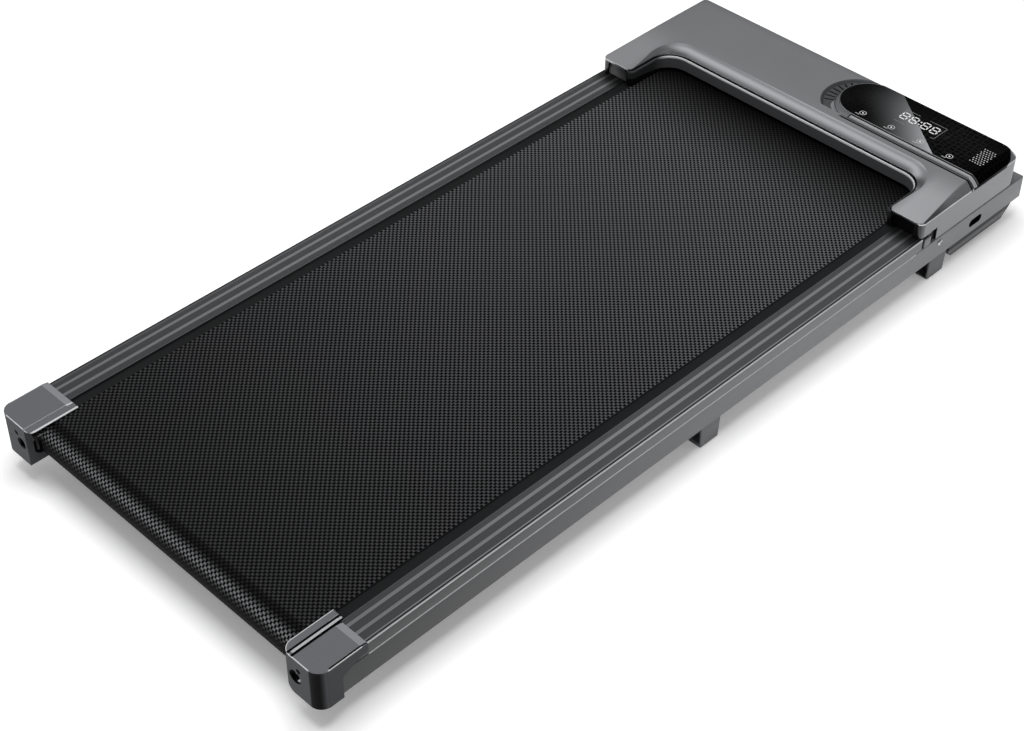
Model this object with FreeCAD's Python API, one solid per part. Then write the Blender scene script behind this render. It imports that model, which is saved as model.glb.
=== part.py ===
import FreeCAD, Part
import math
import os

# Walking pad: a low motor-driven walking platform. Millimetres, +Z up.
# The origin is on the floor at the middle, +Y points to the motor hood, +X to its display end.

overrun = 20.0                 # extra length of every cutting solid
weld_overlap = 0.4             # depth by which features of one solid run into each other

# Overall sizes
overall_length = 1124.0        # rear faces of the end caps to the front ends of the tubes
ground_clearance = 31.0        # floor to the underside of the tubes

# Steel frame
tube_width = 25.0
tube_height = 31.0
tube_wall = 1.5
tube_end_gap = 1.0             # tube ends clear of the end caps
front_tube_depth = 23.0        # cross tube that closes the front
cross_depth = 30.0
cross_height = 20.0
rear_cross_setback = 64.0      # rear face of the pad to the rear cross member
middle_cross_share = 0.5
front_cross_setback = 196.0    # front end of the pad to the front cross member
plug_depth = 12.0
plug_fit = 0.1
cable_slot_length = 25.0       # obround window in the right tube
cable_slot_height = 10.5
cable_slot_setback = 96.0
cable_slot_drop = 16.0         # below the top of the tube

# Aluminium foot rails
rail_height = 16.0
rail_width = 36.5
rail_wall = 2.0
rail_front_setback = 203.0
rib_band_widths = (6.0, 9.0, 8.0)
rib_band_insets = (0.6, 11.6, 25.2)   # from the rail's inner edge
rib_pitch = 1.5
rib_depth = 0.5
rib_gap_share = 0.4
edge_groove_inset = 2.0
edge_groove_width = 1.0
rail_screw_count = 4
rail_screw_radius = 1.9
rail_screw_head_radius = 3.5
rail_screw_head_height = 2.4
rail_screw_length = 8.0
rail_screw_access_radius = 4.5
rail_screw_end_margin = 90.0
screw_fit = 0.2

# Walking belt, rollers and deck
belt_width = 400.0             # the tubes, rails and hood are set out from the belt
belt_rail_gap = 13.5
belt_thickness = 1.6
belt_below_rail = 0.5
belt_running_gap = 0.3
roller_diameter = 42.0
roller_wall = 2.5
roller_side_margin = 2.0       # roller beyond the belt's edge
roller_plug_length = 20.0
rear_axle_setback = 35.0
front_axle_setback = 117.0
axle_radius = 6.0
bearing_outer_radius = 12.0
bearing_width = 10.0
bearing_fit = 0.02
running_fit = 0.05             # radial clearance of turning shafts
deck_thickness = 12.0
deck_side_gap = 0.5
deck_rear_gap = 28.0           # rear axle to the board
deck_front_gap = 38.0
cushion_radius = 13.0
cushion_thickness = 3.6
cushion_inset = 24.0           # from the belt's edge
deck_screw_radius = 2.4
deck_screw_head_radius = 4.6
deck_screw_head_height = 2.6
deck_screw_bite = 8.0

# Belt tension fittings at the rear
bracket_thickness = 3.0
bracket_drop = 13.0            # below the axle
bracket_top_gap = 0.3
bracket_setback = 12.0
bracket_front_reach = 22.0     # beyond the rear axle
bracket_width = 16.0
axle_slot_travel = 10.0
axle_fit = 0.1
bolt_inset = 8.0               # tension bolt axis from the tube's inner face
bolt_radius = 3.0
bolt_head_radius = 5.0
bolt_head_height = 6.0
bolt_socket_radius = 2.6
bolt_socket_depth = 3.5
bolt_reach = 14.0              # beyond the rear axle

# Rear end caps
cap_wall = 1.8
cap_fit = 0.2
cap_rear_wall = 2.5
cap_length = 61.0
cap_corner = 14.0
cap_plate_width = 36.0
cap_ridge_band = 9.0
cap_ridge_radius = 2.4
cap_lip_drop = 1.0
cap_belt_overlap = 3.0
cap_lip_corner = 8.0
cap_ramp_length = 8.0
cap_ramp_edge = 0.4            # thickness left at the ramp's end
cap_side_length = 29.0         # lower part of the outer panel
cap_step_length = 24.0
cap_step_depth = 10.0          # below the rail's top
cap_step_drop = 10.0
cap_cheek_length = 27.0        # inner side of the cap: a J that opens to the front
cap_cheek_strip = 8.0
cap_cheek_height = 9.0
cap_cheek_end_height = 4.0
cap_cheek_corner = 8.0
cap_foot_corner = 9.0          # lower inner corner of the right cap's rear wall
cap_hole_radius = 7.0
cap_small_hole_radius = 3.0
cap_small_hole_shift = (6.5, 11.0)

# Front roller drive
roller_bracket_thickness = 4.0
roller_bracket_length = 46.0
roller_bracket_height = 27.0
pulley_radius = 28.0
pulley_ratio = 2.5
pulley_width = 12.0
pulley_hub_radius = 14.0
pulley_hub_length = 5.5
pulley_bore_gap = 0.5
drive_belt_thickness = 2.4
drive_belt_side_gap = 1.0

# Drive motor
motor_setback = 58.0           # front end of the pad to the motor's axis
motor_drop = 9.6               # motor axis below the roller axis
motor_radius = 25.0
motor_wall = 2.0
motor_length = 110.0
motor_bell_length = 7.0
motor_bell_neck_radius = 9.0
motor_shaft_radius = 4.0
motor_pulley_gap = 17.0        # pulley's inner side to the motor's end bell
motor_tail_length = 3.0
fan_radius = 22.0
fan_hub_radius = 8.0
fan_thickness = 6.0
fan_gap = 3.0
fan_blade_count = 9
fan_blade_thickness = 1.6
fan_plate_thickness = 1.6
saddle_length = 60.0
saddle_width = 64.0
saddle_height = 12.0
saddle_plate_thickness = 3.0
saddle_fit = 0.05
clamp_thickness = 2.0
clamp_width = 16.0
clamp_bolt_inset = 3.0
motor_bolt_radius = 1.5
motor_bolt_head_radius = 2.8
motor_bolt_head_height = 3.0
motor_bolt_length = 9.0

# Motor hood
hood_wall = 2.5
hood_side_inset = 1.0          # hood's sides behind the tubes' outer faces
hood_depth = 213.0             # front end of the pad to the ends of the arms
hood_back_setback = 15.0
hood_lip_height = 21.0         # above the rail's top
hood_top_height = 31.0
hood_bevel = 9.0               # chamfer along the sides and the back
hood_lip_setback = 142.0       # front end of the pad to the lip over the belt
hood_lip_bevel = 21.0
hood_bevel_bulge = 2.0         # how far the bevel round the opening stands out from a straight line
hood_bevel_steps = 4
hood_lip_ledge = 2.0
hood_arm_width = 50.0
hood_inner_corner = 28.0
hood_back_corner = 14.0
hood_arm_corner = 8.0
hood_tip_corner = 6.0
hood_ramp_length = 76.0
hood_ramp_end_rise = 1.0       # arm's end above the lip
hood_rail_gap = 0.6
hood_belt_gap = 3.5
hood_notch_length = 14.0
hood_recess_depth = 4.0        # front faces of the arms under the top plate

# Display pod on the hood
pod_length = 225.5             # panel's rounded end to the hood's right side
panel_depth = 77.0
panel_left_radius = 38.0
panel_corner = 12.0
panel_proud = 0.8
panel_thickness = 2.6
panel_fit = 0.15
trim_width = 10.0
trim_bead = 2.0
trim_proud = 1.2
trim_band_drop = 0.6
pod_backing = 2.6
dish_radius = 48.5
dish_end_gap = 30.5            # panel's rounded end to the dish's middle
dish_centre_setback = 72.0
dish_edge_depth = 0.5
dish_depth = 3.0
dish_backing = 2.5
vent_count = 8
vent_width = 1.8
vent_inner_share = 0.72
vent_outer_share = 0.94
vent_start_deg = 132.0
vent_step_deg = 11.0
window_width = 59.0
window_depth = 28.0
window_left = 80.5             # from the panel's rounded end
window_front = 26.0            # from the panel's front edge
board_thickness = 1.6
board_left = 20.0
board_speaker_gap = 16.5
board_margin = 9.0
board_gap = 1.0
digit_fit = 0.5
digit_rise = 2.0
speaker_radius = 12.0
speaker_height = 8.0
speaker_magnet_share = 0.6
speaker_inset = 27.0           # from the hood's right side

# Electronics in the pan
control_width = 170.0
control_depth = 46.0
control_motor_gap = 23.5       # end of the motor's shaft to the board
control_setback = 78.0
control_post_radius = 3.0
control_post_height = 12.0
control_post_inset = 5.0
heatsink_width = 60.0
heatsink_depth = 24.0
heatsink_height = 22.0
heatsink_base = 4.0
heatsink_fins = 7
heatsink_fin_share = 0.45
capacitor_radius = 8.0
capacitor_height = 24.0
capacitor_count = 3
capacitor_pitch = 20.0
board_part_inset = 8.0

# Power fittings in the hood's back wall
fitting_drop = 27.0            # below the plateau of the hood
fitting_flange = 2.0
fitting_fit = 0.15
inlet_inset = 159.0            # from the hood's right side, as the two below
inlet_width = 27.0
inlet_height = 20.0
inlet_depth = 17.0
inlet_border = 1.8
inlet_socket_depth = 13.0
inlet_pin_radius = 1.2
inlet_pin_pitch = 7.0
switch_inset = 109.0
switch_width = 21.0
switch_height = 15.0
switch_depth = 15.0
switch_border = 1.5
rocker_width = 16.0
rocker_height = 10.0
rocker_depth = 6.0
rocker_well_gap = 0.9
rocker_side_gap = 0.4
rocker_pin_radius = 1.2
rocker_pin_length = 1.6
rocker_tilt_deg = 8.0
breaker_inset = 69.0
breaker_radius = 7.0
breaker_flange_radius = 9.5
breaker_depth = 15.0
button_radius = 3.6
button_proud = 4.0
button_seat = 6.0
button_fit = 0.3

# Bottom pan under the hood
pan_half_inset = 5.0           # pan's sides behind the tubes' outer faces
pan_rear_setback = 136.0
pan_front_setback = 9.0
pan_floor_height = 9.0
pan_wall = 2.5
pan_taper_length = 17.0
pan_taper_rise = 14.0
pan_rear_chamfer = 6.0
pan_rear_drop = 4.0
pan_screw_count = 3
pan_screw_radius = 2.0
pan_screw_head_radius = 4.0
pan_screw_head_height = 2.0
pan_screw_bite = 6.0
pan_flange_width = 12.0

# Rail end brackets and side screws
end_bracket_length = 12.0
end_bracket_height = 12.0
end_bracket_thickness = 3.0
end_bracket_gap = 1.0
side_screw_radius = 2.0
side_screw_head_radius = 4.0
side_screw_head_height = 1.8
side_screw_length = 6.0
side_screw_setback = 169.0
side_screw_drop = 9.0

# Feet
foot_width = 19.0
foot_side_inset = 2.0
foot_taper = 1.0
middle_foot_setback = 537.0    # from the rear face of the caps
middle_foot_length = 31.0
front_foot_setback = 179.0     # from the front end of the pad
front_foot_length = 33.0
foot_pocket_wall = 3.0
foot_pocket_depth = 12.0
foot_pocket_floor = 5.0
rear_foot_width = 21.0
rear_foot_tube_gap = 0.5

# Transport wheels
wheel_radius = 11.0
wheel_width = 14.0
wheel_inset = 59.0             # from the pan's side
wheel_setback = 21.0
wheel_floor_gap = 2.0
wheel_axle_radius = 2.5
wheel_rim_share = 0.72
wheel_dish_depth = 1.5
well_side_gap = 1.0
well_round_gap = 2.0
well_wall = 2.0

# Places worked out from the sizes
rear_y = -overall_length / 2
front_y = overall_length / 2
belt_half = belt_width / 2
half_frame = belt_half + belt_rail_gap + rail_width
tube_inner = half_frame - tube_width
tube_bottom = ground_clearance
tube_top = tube_bottom + tube_height
rail_top = tube_top + rail_height
rail_inner = half_frame - rail_width
tube_rear_y = rear_y + cap_rear_wall + cap_corner - cap_wall + tube_end_gap
rail_front_y = front_y - rail_front_setback
front_tube_y = front_y - front_tube_depth

belt_top = rail_top - belt_below_rail
roller_radius = roller_diameter / 2
belt_inner_radius = roller_radius + belt_running_gap
belt_outer_radius = belt_inner_radius + belt_thickness
axle_z = belt_top - belt_outer_radius
rear_axle_y = rear_y + rear_axle_setback
front_axle_y = front_y - front_axle_setback
roller_half = belt_half + roller_side_margin
deck_top = belt_top - belt_thickness - belt_running_gap
deck_bottom = deck_top - deck_thickness
deck_half = rail_inner - deck_side_gap
deck_rear_y = rear_axle_y + deck_rear_gap
deck_front_y = front_axle_y - deck_front_gap
cross_top = deck_bottom - cushion_thickness
cross_bottom = cross_top - cross_height
rear_cross_y = rear_y + rear_cross_setback
front_cross_y = front_y - front_cross_setback
middle_cross_y = rear_cross_y + (front_cross_y - rear_cross_y) * middle_cross_share
cross_places = (rear_cross_y, middle_cross_y, front_cross_y)
cushion_x = belt_half - cushion_inset
bolt_x = tube_inner - bolt_inset
bracket_y = rear_y + bracket_setback

cap_outer = half_frame + cap_fit + cap_wall
cap_top = rail_top + cap_fit + cap_wall
cap_bottom = tube_bottom - cap_fit - cap_wall
cap_front_y = rear_y + cap_length
cap_plate_inner = cap_outer - cap_plate_width
cap_ridge_x = cap_plate_inner - cap_ridge_band / 2
cap_lip_outer = cap_plate_inner - cap_ridge_band
cap_lip_inner = belt_half - cap_belt_overlap
cap_lip_top = cap_top - cap_lip_drop

pulley_inner_x = -roller_half - pulley_hub_length
pulley_outer_x = pulley_inner_x - pulley_width
motor_y = front_y - motor_setback
motor_z = axle_z - motor_drop
motor_pulley_radius = pulley_radius / pulley_ratio
motor_left_x = pulley_inner_x + motor_pulley_gap
motor_can_left = motor_left_x + motor_bell_length
motor_can_right = motor_can_left + motor_length
motor_right_x = motor_can_right + motor_bell_length
motor_middle_x = (motor_can_left + motor_can_right) / 2

hood_half = half_frame - hood_side_inset
hood_front_y = front_y - hood_depth
hood_back_y = front_y - hood_back_setback
hood_lip_y = front_y - hood_lip_setback
hood_lip_z = rail_top + hood_lip_height
hood_top_z = rail_top + hood_top_height
hood_inner = hood_half - hood_arm_width
plateau_half = hood_half - hood_bevel
plateau_back_y = hood_back_y - hood_bevel

pod_left = hood_half - pod_length
panel_back_y = plateau_back_y
panel_front_y = panel_back_y - panel_depth
trim_front_y = panel_front_y - trim_width
dish_centre_x = pod_left + dish_end_gap
dish_centre_y = front_y - dish_centre_setback
backing_depth = panel_thickness - panel_proud + pod_backing
window_x = pod_left + window_left
window_y = panel_front_y + window_front
board_x = pod_left + board_left
board_top = hood_top_z - backing_depth
speaker_x = hood_half - speaker_inset
board_end = speaker_x - speaker_radius - board_speaker_gap
panel_middle_y = (panel_front_y + panel_back_y) / 2

pan_half = half_frame - pan_half_inset
pan_rear_y = front_y - pan_rear_setback
pan_front_y = front_y - pan_front_setback
pan_inner_floor = pan_floor_height + pan_wall
control_left = motor_right_x + motor_tail_length + control_motor_gap
control_y = front_y - control_setback
control_bottom = pan_inner_floor + control_post_height
control_top = control_bottom + board_thickness
inlet_x = hood_half - inlet_inset
switch_x = hood_half - switch_inset
breaker_x = hood_half - breaker_inset
fitting_z = hood_top_z - fitting_drop
fitting_face_y = hood_back_y + fitting_flange

wheel_x = pan_half - wheel_inset
wheel_y = front_y - wheel_setback
wheel_z = wheel_radius + wheel_floor_gap
end_bracket_y = rail_front_y + end_bracket_gap
rear_foot_outer = tube_inner - rear_foot_tube_gap
rear_foot_inner = rear_foot_outer - rear_foot_width

x_axis = FreeCAD.Vector(1, 0, 0)
y_axis = FreeCAD.Vector(0, 1, 0)
z_axis = FreeCAD.Vector(0, 0, 1)
centre = FreeCAD.Vector(0, 0, 0)


def box(x0, x1, y0, y1, z0, z1):
    corner = FreeCAD.Vector(min(x0, x1), min(y0, y1), min(z0, z1))
    return Part.makeBox(abs(x1 - x0), abs(y1 - y0), abs(z1 - z0), corner)


def rod_x(radius, x0, x1, y, z):
    return Part.makeCylinder(radius, x1 - x0, FreeCAD.Vector(x0, y, z), x_axis)


def rod_y(radius, y0, y1, x, z):
    return Part.makeCylinder(radius, y1 - y0, FreeCAD.Vector(x, y0, z), y_axis)


def rod_z(radius, z0, z1, x, y):
    return Part.makeCylinder(radius, z1 - z0, FreeCAD.Vector(x, y, z0), z_axis)


def mirrored(shape):
    return shape.mirror(centre, x_axis)


def in_plan(z):
    return lambda u, v: FreeCAD.Vector(u, v, z)


def across_x(x):
    return lambda u, v: FreeCAD.Vector(x, u, v)


def across_y(y):
    return lambda u, v: FreeCAD.Vector(u, y, v)


# A closed outline of (u, v, radius) corners: straight sides joined by tangent arcs.
def outline(corners, place):
    starts = []
    middles = []
    ends = []
    count = len(corners)
    for index, (u, v, radius) in enumerate(corners):
        before = corners[index - 1]
        after = corners[(index + 1) % count]
        back = (before[0] - u, before[1] - v)
        ahead = (after[0] - u, after[1] - v)
        back_length = math.hypot(*back)
        ahead_length = math.hypot(*ahead)
        back = (back[0] / back_length, back[1] / back_length)
        ahead = (ahead[0] / ahead_length, ahead[1] / ahead_length)
        half_turn = math.acos(max(-1, min(1, back[0] * ahead[0] + back[1] * ahead[1]))) / 2
        reach = radius / math.tan(half_turn)
        starts.append((u + back[0] * reach, v + back[1] * reach))
        ends.append((u + ahead[0] * reach, v + ahead[1] * reach))
        bisector = (back[0] + ahead[0], back[1] + ahead[1])
        size = math.hypot(*bisector)
        depth = radius / math.sin(half_turn) - radius
        scale = depth / size if radius else 0
        middles.append((u + bisector[0] * scale, v + bisector[1] * scale))
    edges = []
    for index, (u, v, radius) in enumerate(corners):
        if radius:
            arc = Part.Arc(place(*starts[index]), place(*middles[index]), place(*ends[index]))
            edges.append(arc.toShape())
        line_start = place(*ends[index])
        line_end = place(*starts[(index + 1) % count])
        if line_start.distanceToPoint(line_end) > Part.Precision.confusion():
            edges.append(Part.LineSegment(line_start, line_end).toShape())
    return Part.Wire(edges)


def slab(corners, z0, z1):
    return Part.Face(outline(corners, in_plan(z0))).extrude(z_axis * (z1 - z0))


def bar_x(corners, x0, x1):
    return Part.Face(outline(corners, across_x(x0))).extrude(x_axis * (x1 - x0))


def bar_y(corners, y0, y1):
    return Part.Face(outline(corners, across_y(y0))).extrude(y_axis * (y1 - y0))


def sharp(points):
    return [(u, v, 0) for u, v in points]


# The closed path of a belt round two circles, given as (u, v, radius).
def belt_path(first, second, place):
    u1, v1, r1 = first
    u2, v2, r2 = second
    along = math.atan2(v2 - v1, u2 - u1)
    spread = math.acos((r1 - r2) / math.hypot(u2 - u1, v2 - v1))

    def on(circle, angle):
        return place(circle[0] + circle[2] * math.cos(angle), circle[1] + circle[2] * math.sin(angle))

    low2 = on(second, along - spread)
    high2 = on(second, along + spread)
    high1 = on(first, along + spread)
    low1 = on(first, along - spread)
    return Part.Wire([
        Part.LineSegment(low1, low2).toShape(),
        Part.Arc(low2, on(second, along), high2).toShape(),
        Part.LineSegment(high2, high1).toShape(),
        Part.Arc(high1, on(first, along + math.pi), low1).toShape(),
    ])


def belt_block(first, second, x0, x1):
    return Part.Face(belt_path(first, second, across_x(x0))).extrude(x_axis * (x1 - x0))


def fused(shapes):
    whole = shapes[0]
    if len(shapes) > 1:
        whole = whole.multiFuse(shapes[1:])
    return whole.removeSplitter()


def save(name, *shapes):
    solids = [solid for shape in shapes for solid in shape.Solids]
    body = solids[0] if len(solids) == 1 else Part.makeCompound(solids)
    good = all(solid.isValid() for solid in solids)
    body.exportStep("parts/" + name + ".step")
    print(name, len(solids), "valid" if good else "INVALID", round(sum(s.Volume for s in solids)))


def even_places(first, last, count):
    step = (last - first) / (count - 1)
    return [first + step * index for index in range(count)]


rail_screw_places = even_places(
    rear_y + rail_screw_end_margin, rail_front_y - rail_screw_end_margin, rail_screw_count)
rail_screw_x = (tube_inner + half_frame) / 2
pan_screw_places = even_places(
    pan_rear_y + pan_flange_width, front_tube_y - pan_flange_width, pan_screw_count)
pan_screw_x = pan_half - pan_flange_width / 2


# A frame tube on the right side, hollow, with the holes of its screws and the side screw.
def frame_tube():
    tube = box(tube_inner, half_frame, tube_rear_y, front_y, tube_bottom, tube_top)
    hollow = box(tube_inner + tube_wall, half_frame - tube_wall, tube_rear_y - overrun, front_y + overrun,
                 tube_bottom + tube_wall, tube_top - tube_wall)
    tube = tube.cut(hollow)
    for y in rail_screw_places:
        tube = tube.cut(rod_z(rail_screw_access_radius, tube_bottom - overrun, tube_bottom + tube_wall * 2,
                              rail_screw_x, y))
        tube = tube.cut(rod_z(rail_screw_radius + screw_fit, tube_top - tube_wall * 2, tube_top + overrun,
                              rail_screw_x, y))
    for y in pan_screw_places:
        tube = tube.cut(rod_z(pan_screw_radius + screw_fit, tube_bottom - overrun,
                              tube_bottom + tube_wall * 2, pan_screw_x, y))
    screw_y = front_y - side_screw_setback
    screw_z = tube_top - side_screw_drop
    return tube.cut(rod_x(side_screw_radius + screw_fit, half_frame - tube_wall * 2, half_frame + overrun,
                          screw_y, screw_z))


def cable_slot():
    radius = cable_slot_height / 2
    half_run = (cable_slot_length - cable_slot_height) / 2
    y = front_y - cable_slot_setback
    z = tube_top - cable_slot_drop
    return belt_block((y - half_run, z, radius), (y + half_run, z, radius),
                      half_frame - tube_wall * 2, half_frame + overrun)


def cross_member(y0):
    outer = box(-tube_inner, tube_inner, y0, y0 + cross_depth, cross_bottom, cross_top)
    hollow = box(-tube_inner - overrun, tube_inner + overrun, y0 + tube_wall, y0 + cross_depth - tube_wall,
                 cross_bottom + tube_wall, cross_top - tube_wall)
    member = outer.cut(hollow)
    for x in (-cushion_x, cushion_x):
        member = member.cut(rod_z(deck_screw_radius + screw_fit, cross_bottom - overrun,
                                  cross_top + overrun, x, y0 + cross_depth / 2))
    return member


def make_frame():
    right_tube = frame_tube()
    save("left_frame_tube", mirrored(right_tube))
    save("right_frame_tube", right_tube.cut(cable_slot()))
    outer = box(-tube_inner, tube_inner, front_tube_y, front_y, tube_bottom, tube_top)
    hollow = box(-tube_inner - overrun, tube_inner + overrun, front_tube_y + tube_wall, front_y - tube_wall,
                 tube_bottom + tube_wall, tube_top - tube_wall)
    save("front_cross_tube", outer.cut(hollow))
    save("cross_members", *[cross_member(y0) for y0 in cross_places])
    skin = tube_wall + plug_fit
    plug = box(tube_inner + skin, half_frame - skin, front_y - plug_depth, front_y,
               tube_bottom + skin, tube_top - skin)
    save("tube_end_plugs", plug, mirrored(plug))


# Foot rail: a hollow extrusion whose top carries bands of fine ribs and one groove along its edge.
def foot_rail():
    points = [(rail_inner, tube_top), (half_frame, tube_top), (half_frame, rail_top)]
    gaps = [(half_frame - edge_groove_inset, edge_groove_width)]
    for inset, width in zip(reversed(rib_band_insets), reversed(rib_band_widths)):
        steps = int(width / rib_pitch)
        for step in range(steps):
            gaps.append((rail_inner + inset + width - step * rib_pitch, rib_pitch * rib_gap_share))
    for x, width in gaps:
        points.append((x, rail_top))
        points.append((x - width / 2, rail_top - rib_depth))
        points.append((x - width, rail_top))
    points.append((rail_inner, rail_top))
    rail = bar_y(sharp(points), tube_rear_y, rail_front_y)
    hollow = box(rail_inner + rail_wall, half_frame - rail_wall, tube_rear_y - overrun,
                 rail_front_y + overrun, tube_top + rail_wall, rail_top - rail_wall)
    rail = rail.cut(hollow)
    for y in rail_screw_places:
        rail = rail.cut(rod_z(rail_screw_radius + screw_fit, tube_top - overrun, tube_top + rail_wall * 2,
                              rail_screw_x, y))
    return rail


def make_rails():
    rail = foot_rail()
    save("left_foot_rail", mirrored(rail))
    save("right_foot_rail", rail)
    screws = []
    seat = tube_top - tube_wall
    for y in rail_screw_places:
        head = rod_z(rail_screw_head_radius, seat - rail_screw_head_height, seat, rail_screw_x, y)
        shank = rod_z(rail_screw_radius, seat - weld_overlap, seat + rail_screw_length, rail_screw_x, y)
        screw = fused([head, shank])
        screws += [screw, mirrored(screw)]
    save("rail_screws", *screws)
    bracket = box(half_frame - end_bracket_thickness, half_frame, end_bracket_y,
                  end_bracket_y + end_bracket_length, tube_top, tube_top + end_bracket_height)
    save("rail_end_brackets", bracket, mirrored(bracket))
    screw_y = front_y - side_screw_setback
    screw_z = tube_top - side_screw_drop
    head = rod_x(side_screw_head_radius, half_frame, half_frame + side_screw_head_height, screw_y, screw_z)
    shank = rod_x(side_screw_radius, half_frame - side_screw_length, half_frame + weld_overlap,
                  screw_y, screw_z)
    screw = fused([head, shank])
    save("side_screws", screw, mirrored(screw))


def make_deck():
    deck = box(-deck_half, deck_half, deck_rear_y, deck_front_y, deck_bottom, deck_top)
    cushions = []
    screws = []
    for y0 in cross_places:
        for x in (-cushion_x, cushion_x):
            y = y0 + cross_depth / 2
            hole_radius = deck_screw_radius + screw_fit
            bite_top = deck_bottom + deck_screw_bite
            deck = deck.cut(rod_z(hole_radius, deck_bottom - overrun, bite_top + screw_fit, x, y))
            ring = rod_z(cushion_radius, cross_top, deck_bottom, x, y)
            cushions.append(ring.cut(rod_z(hole_radius, cross_top - overrun, deck_bottom + overrun, x, y)))
            head = rod_z(deck_screw_head_radius, cross_bottom - deck_screw_head_height, cross_bottom, x, y)
            shank = rod_z(deck_screw_radius, cross_bottom - weld_overlap, bite_top, x, y)
            screws.append(fused([head, shank]))
    save("running_deck", deck)
    save("deck_cushions", *cushions)
    save("deck_screws", *screws)
    rear = (rear_axle_y, axle_z, belt_outer_radius)
    front = (front_axle_y, axle_z, belt_outer_radius)
    loop = belt_block(rear, front, -belt_half, belt_half)
    rear = (rear_axle_y, axle_z, belt_inner_radius)
    front = (front_axle_y, axle_z, belt_inner_radius)
    inner = belt_block(rear, front, -belt_half - overrun, belt_half + overrun)
    save("walking_belt", loop.cut(inner))


# A roller tube with an end plug at each end, bored for its bearings.
def roller(y):
    body = rod_x(roller_radius, -roller_half, roller_half, y, axle_z)
    hollow_half = roller_half - roller_plug_length
    body = body.cut(rod_x(roller_radius - roller_wall, -hollow_half, hollow_half, y, axle_z))
    return body.cut(rod_x(bearing_outer_radius, -roller_half - overrun, roller_half + overrun, y, axle_z))


def bearings(y):
    ring = rod_x(bearing_outer_radius - bearing_fit, roller_half - bearing_width, roller_half, y, axle_z)
    ring = ring.cut(rod_x(axle_radius + running_fit, -overrun, roller_half + overrun, y, axle_z))
    return ring, mirrored(ring)


def tension_bracket():
    low = axle_z - bracket_drop
    high = tube_top - bracket_top_gap
    side = box(tube_inner - bracket_thickness, tube_inner, bracket_y, rear_axle_y + bracket_front_reach,
               low, high)
    rear = box(tube_inner - bracket_width, tube_inner, bracket_y, bracket_y + bracket_thickness, low, high)
    bracket = fused([side, rear])
    slot_radius = axle_radius + axle_fit
    half_travel = axle_slot_travel / 2
    slot = belt_block((rear_axle_y - half_travel, axle_z, slot_radius),
                      (rear_axle_y + half_travel, axle_z, slot_radius),
                      tube_inner - bracket_width, tube_inner + overrun)
    bracket = bracket.cut(slot)
    return bracket.cut(rod_y(bolt_radius + running_fit, bracket_y - overrun, rear_axle_y, bolt_x, axle_z))


def tension_bolt():
    head = rod_y(bolt_head_radius, bracket_y - bolt_head_height, bracket_y, bolt_x, axle_z)
    shank = rod_y(bolt_radius, bracket_y - weld_overlap, rear_axle_y + bolt_reach, bolt_x, axle_z)
    bolt = fused([head, shank])
    hexagon = []
    for side in range(6):
        angle = side * math.pi / 3
        hexagon.append((bolt_x + bolt_socket_radius * math.cos(angle),
                        axle_z + bolt_socket_radius * math.sin(angle)))
    head_end = bracket_y - bolt_head_height
    return bolt.cut(bar_y(sharp(hexagon), head_end - overrun, head_end + bolt_socket_depth))


def make_rear_roller():
    save("rear_roller", roller(rear_axle_y))
    save("rear_roller_bearings", *bearings(rear_axle_y))
    axle_half = tube_inner - axle_fit
    axle = rod_x(axle_radius, -axle_half, axle_half, rear_axle_y, axle_z)
    for x in (-bolt_x, bolt_x):
        axle = axle.cut(rod_y(bolt_radius + running_fit, rear_axle_y - overrun, rear_axle_y + overrun,
                              x, axle_z))
    save("rear_axle", axle)
    bracket = tension_bracket()
    save("left_tension_bracket", mirrored(bracket))
    save("right_tension_bracket", bracket)
    bolt = tension_bolt()
    save("left_tension_bolt", mirrored(bolt))
    save("right_tension_bolt", bolt)


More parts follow.
